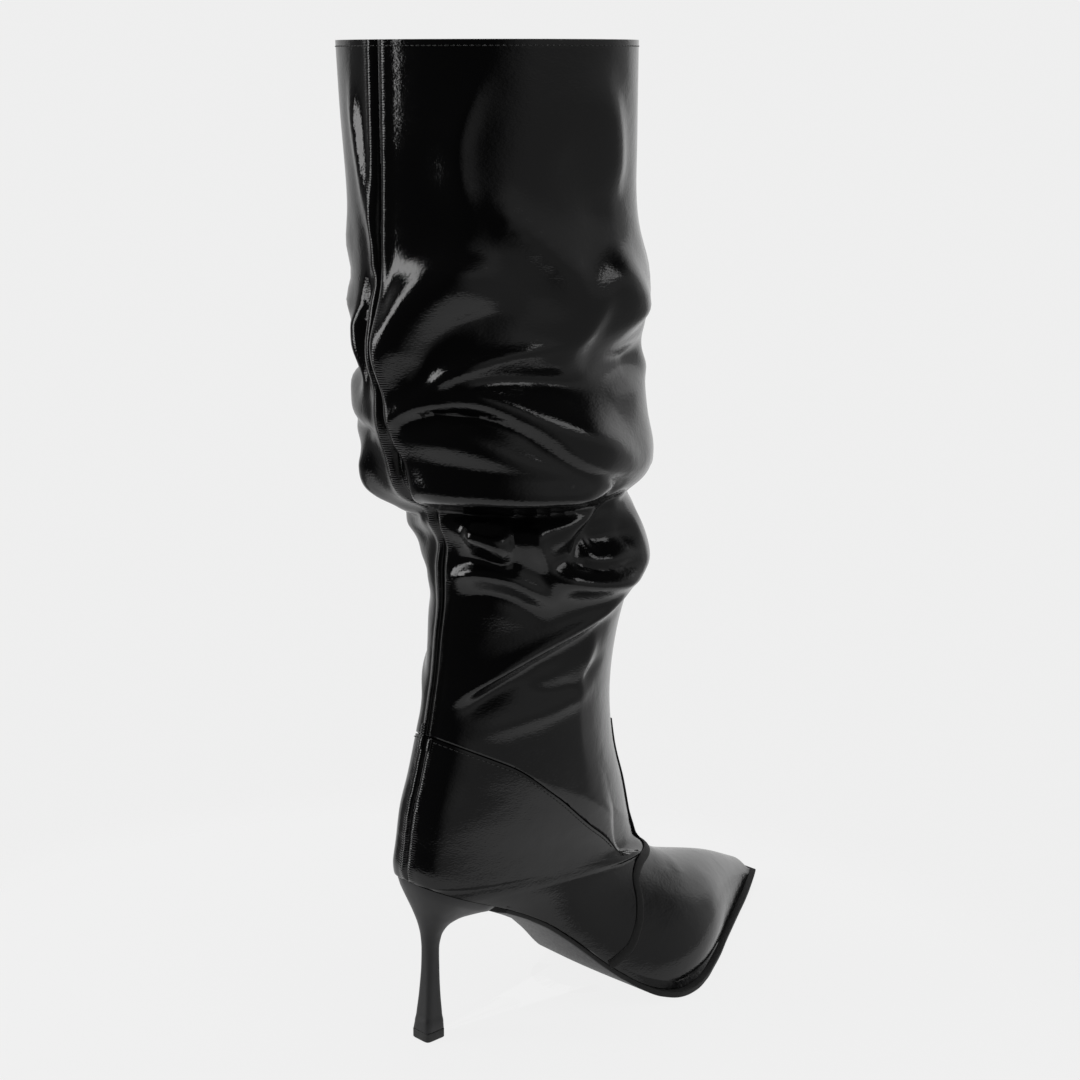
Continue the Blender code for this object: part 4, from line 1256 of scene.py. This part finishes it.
def light_panel(name, centre, target, width, height, radiance):
    """Soft box that faces a point, with the brightness that a reflection of it shows."""
    data = bpy.data.lights.new(name, "AREA")
    data.shape = "RECTANGLE"
    data.size = width
    data.size_y = height
    data.energy = radiance * math.pi * width * height
    data.cycles.max_bounces = 0
    obj = bpy.data.objects.new(name, data)
    bpy.context.scene.collection.objects.link(obj)
    obj.location = centre
    obj.rotation_euler = (Vector(target) - Vector(centre)).to_track_quat("-Z", "Y").to_euler()
    obj.visible_camera = False
    return obj


def make_floor():
    """Pale floor that fades into the surround."""
    points = [(0.0, 0.0, 0.0)]
    faces = []
    for ring in range(1, FLOOR_RINGS + 1):
        for spoke in range(FLOOR_SPOKES):
            turn = 2 * math.pi * spoke / FLOOR_SPOKES
            reach = FLOOR_RADIUS * ring / FLOOR_RINGS
            points.append((reach * math.cos(turn) + FLOOR_CENTRE, reach * math.sin(turn), 0.0))
    for spoke in range(FLOOR_SPOKES):
        faces.append((0, 1 + spoke, 1 + (spoke + 1) % FLOOR_SPOKES))
    for ring in range(FLOOR_RINGS - 1):
        for spoke in range(FLOOR_SPOKES):
            lower = 1 + ring * FLOOR_SPOKES
            upper = lower + FLOOR_SPOKES
            following = (spoke + 1) % FLOOR_SPOKES
            faces.append((lower + spoke, upper + spoke, upper + following, lower + following))
    material = bpy.data.materials.new("studio paper")
    material.use_nodes = True
    recipe = Recipe(material.node_tree)
    here = recipe.add("ShaderNodeTexCoord").outputs["Object"]
    reach = recipe.number("ShaderNodeVectorMath", "Value", {"operation": "LENGTH"}, {0: here})
    seen = recipe.number("ShaderNodeLightPath", "Is Camera Ray")
    strength = PAPER_TONE * (0.74 + seen * 0.235)
    glow = recipe.add("ShaderNodeEmission", None, {"Color": WHITE, "Strength": strength})
    paper = recipe.add("ShaderNodeBsdfDiffuse", None, {"Color": (0.05, 0.05, 0.05, 1.0)})
    lit = recipe.add("ShaderNodeAddShader", None, {0: glow.outputs[0], 1: paper.outputs[0]})
    gone = recipe.add("ShaderNodeBsdfTransparent")
    fade = recipe.between(reach, FLOOR_FADE, FLOOR_RADIUS * 0.58)
    mix = recipe.add("ShaderNodeMixShader", None, {0: fade, 1: lit.outputs[0], 2: gone.outputs[0]})
    recipe.add("ShaderNodeOutputMaterial", None, {"Surface": mix.outputs[0]})
    floor = mesh_object("floor", points, faces, [material])


def make_surround():
    """Plain pale surround for the camera; the boot mirrors a room that glows beyond it and on its right."""
    world = bpy.data.worlds.new("surround")
    bpy.context.scene.world = world
    world.use_nodes = True
    recipe = Recipe(world.node_tree)
    way = recipe.add("ShaderNodeTexCoord").outputs["Generated"]
    ahead = recipe.share_of(way, AHEAD)
    aside = recipe.share_of(way, ASIDE)
    rise = recipe.share_of(way, (0.0, 0.0, 1.0))
    on_right = recipe.between(aside, -0.10, 0.50)
    low = 1.0 - recipe.between(rise, 0.28, 0.62)
    beyond = recipe.between(ahead, 0.60, 0.78)
    above = recipe.between(ahead + rise, 0.74, 0.84)
    backdrop = (beyond + above - beyond * above) * low + recipe.between(ahead, 0.15, 0.45) * low * 0.25
    over_floor = recipe.between(rise, -0.22, 0.08, 0.75, 1.0)
    glow = STUDIO_GLOW + on_right * low * over_floor * SIDE_GLOW + backdrop * BACK_GLOW
    seen = recipe.add("ShaderNodeBackground", None, {"Color": WHITE, "Strength": PAPER_TONE})
    felt = recipe.add("ShaderNodeBackground", None, {"Color": WHITE, "Strength": glow})
    is_seen = recipe.add("ShaderNodeLightPath").outputs["Is Camera Ray"]
    mix = recipe.add("ShaderNodeMixShader", None, {0: is_seen, 1: felt.outputs[0], 2: seen.outputs[0]})
    recipe.add("ShaderNodeOutputWorld", None, {"Surface": mix.outputs[0]})


def make_lights():
    for name, aside, ahead, height, aim, width, length, radiance in LIGHTS:
        spot = LEG_HEART + ASIDE[:2] * aside + AHEAD[:2] * ahead
        light_panel(name, (*spot, height), (*LEG_HEART, aim), width, length, radiance)


def make_camera():
    data = bpy.data.cameras.new("photo camera")
    data.lens = CAMERA_LENS
    data.sensor_width = 36.0
    data.shift_x, data.shift_y = CAMERA_SHIFT
    data.clip_start = 0.05
    camera = bpy.data.objects.new("photo camera", data)
    bpy.context.scene.collection.objects.link(camera)
    spot = ASIDE * CAMERA_ASIDE - AHEAD * CAMERA_BACK + np.array([0.0, 0.0, CAMERA_HEIGHT])
    camera.location = spot
    look = AHEAD * math.cos(CAMERA_TILT) - np.array([0.0, 0.0, math.sin(CAMERA_TILT)])
    camera.rotation_euler = Vector(look).to_track_quat("-Z", "Y").to_euler()
    bpy.context.scene.camera = camera
    bpy.context.scene.view_settings.view_transform = "Standard"


def dress():
    """Builds every piece, then sets it on the model's root and hides the parts of the model that it stands
    in for.
    """
    patent = finish_of("patent faux leather", patent_detail)
    satin = finish_of("satin heel cover", satin_detail)
    sole = finish_of("painted sole", sole_detail)
    ink = finish_of("inked sole edge", band_detail)
    rubber = finish_of("top piece rubber", rubber_detail)
    matte = finish_of("matte band", band_detail)
    lining = finish_of("knit lining", lining_detail)
    thread = finish_of("black thread", thread_detail)

    dressed = []
    shaft = make_shaft(patent, lining)
    dressed.append((shaft, ["shaft"], "patent"))
    upper = make_upper(patent, lining)
    dressed.append((upper, ["upper"], "patent"))
    dressed.append((make_outsole(sole, ink), ["outsole"], "sole"))
    dressed.append((make_heel(satin), ["heel"], "heel_cover"))
    dressed.append((make_heel_tip(rubber), ["heel_tip"], "tip"))
    points, normals = vamp_piping_path(VAMP_BAND_ROWS)
    piping = band("vamp_band", points, normals, VAMP_BAND_WIDTH, PIPING_THICKNESS, BAND_LIFT, matte)
    dressed.append((piping, ["vamp_piping"], "piping"))
    points, normals = front_piping_path(FRONT_BAND_ROWS)
    piping = band("front_band", points, normals, FRONT_BAND_WIDTH, PIPING_THICKNESS, 0.0, matte)
    dressed.append((piping, ["front_piping"], "piping"))
    for name, side, low, high, ruffle in LEAVES:
        dressed.append((make_leaf(name, side, low, high, ruffle, patent), [], "patent"))

    tree = stitch_tree(thread)
    step = 0.1
    per_section = np.linalg.norm(skin(RIM_ROW, -1, 0.5) - skin(RIM_ROW - step, -1, 0.5)) / step
    rim = leg_line(RIM_ROW - RIM_MARGIN / per_section, 0.0)
    dressed.append((stitch_row("rim_stitches", rim, tree, thread), [], "piping"))
    for name, side in (("quarter_stitches_outer", -1), ("quarter_stitches_inner", 1)):
        row = stitch_row(name, quarter_line(QUARTER_MARGIN, side), tree, thread)
        dressed.append((row, [], "piping"))

    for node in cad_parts.values():
        if node.name == "insole":
            node.data.materials.clear()
            node.data.materials.append(lining)
    for piece, nodes, slot in dressed:
        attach(piece, "root")
        if nodes:
            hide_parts(*nodes)


dress()
make_floor()
make_surround()
make_lights()
make_camera()
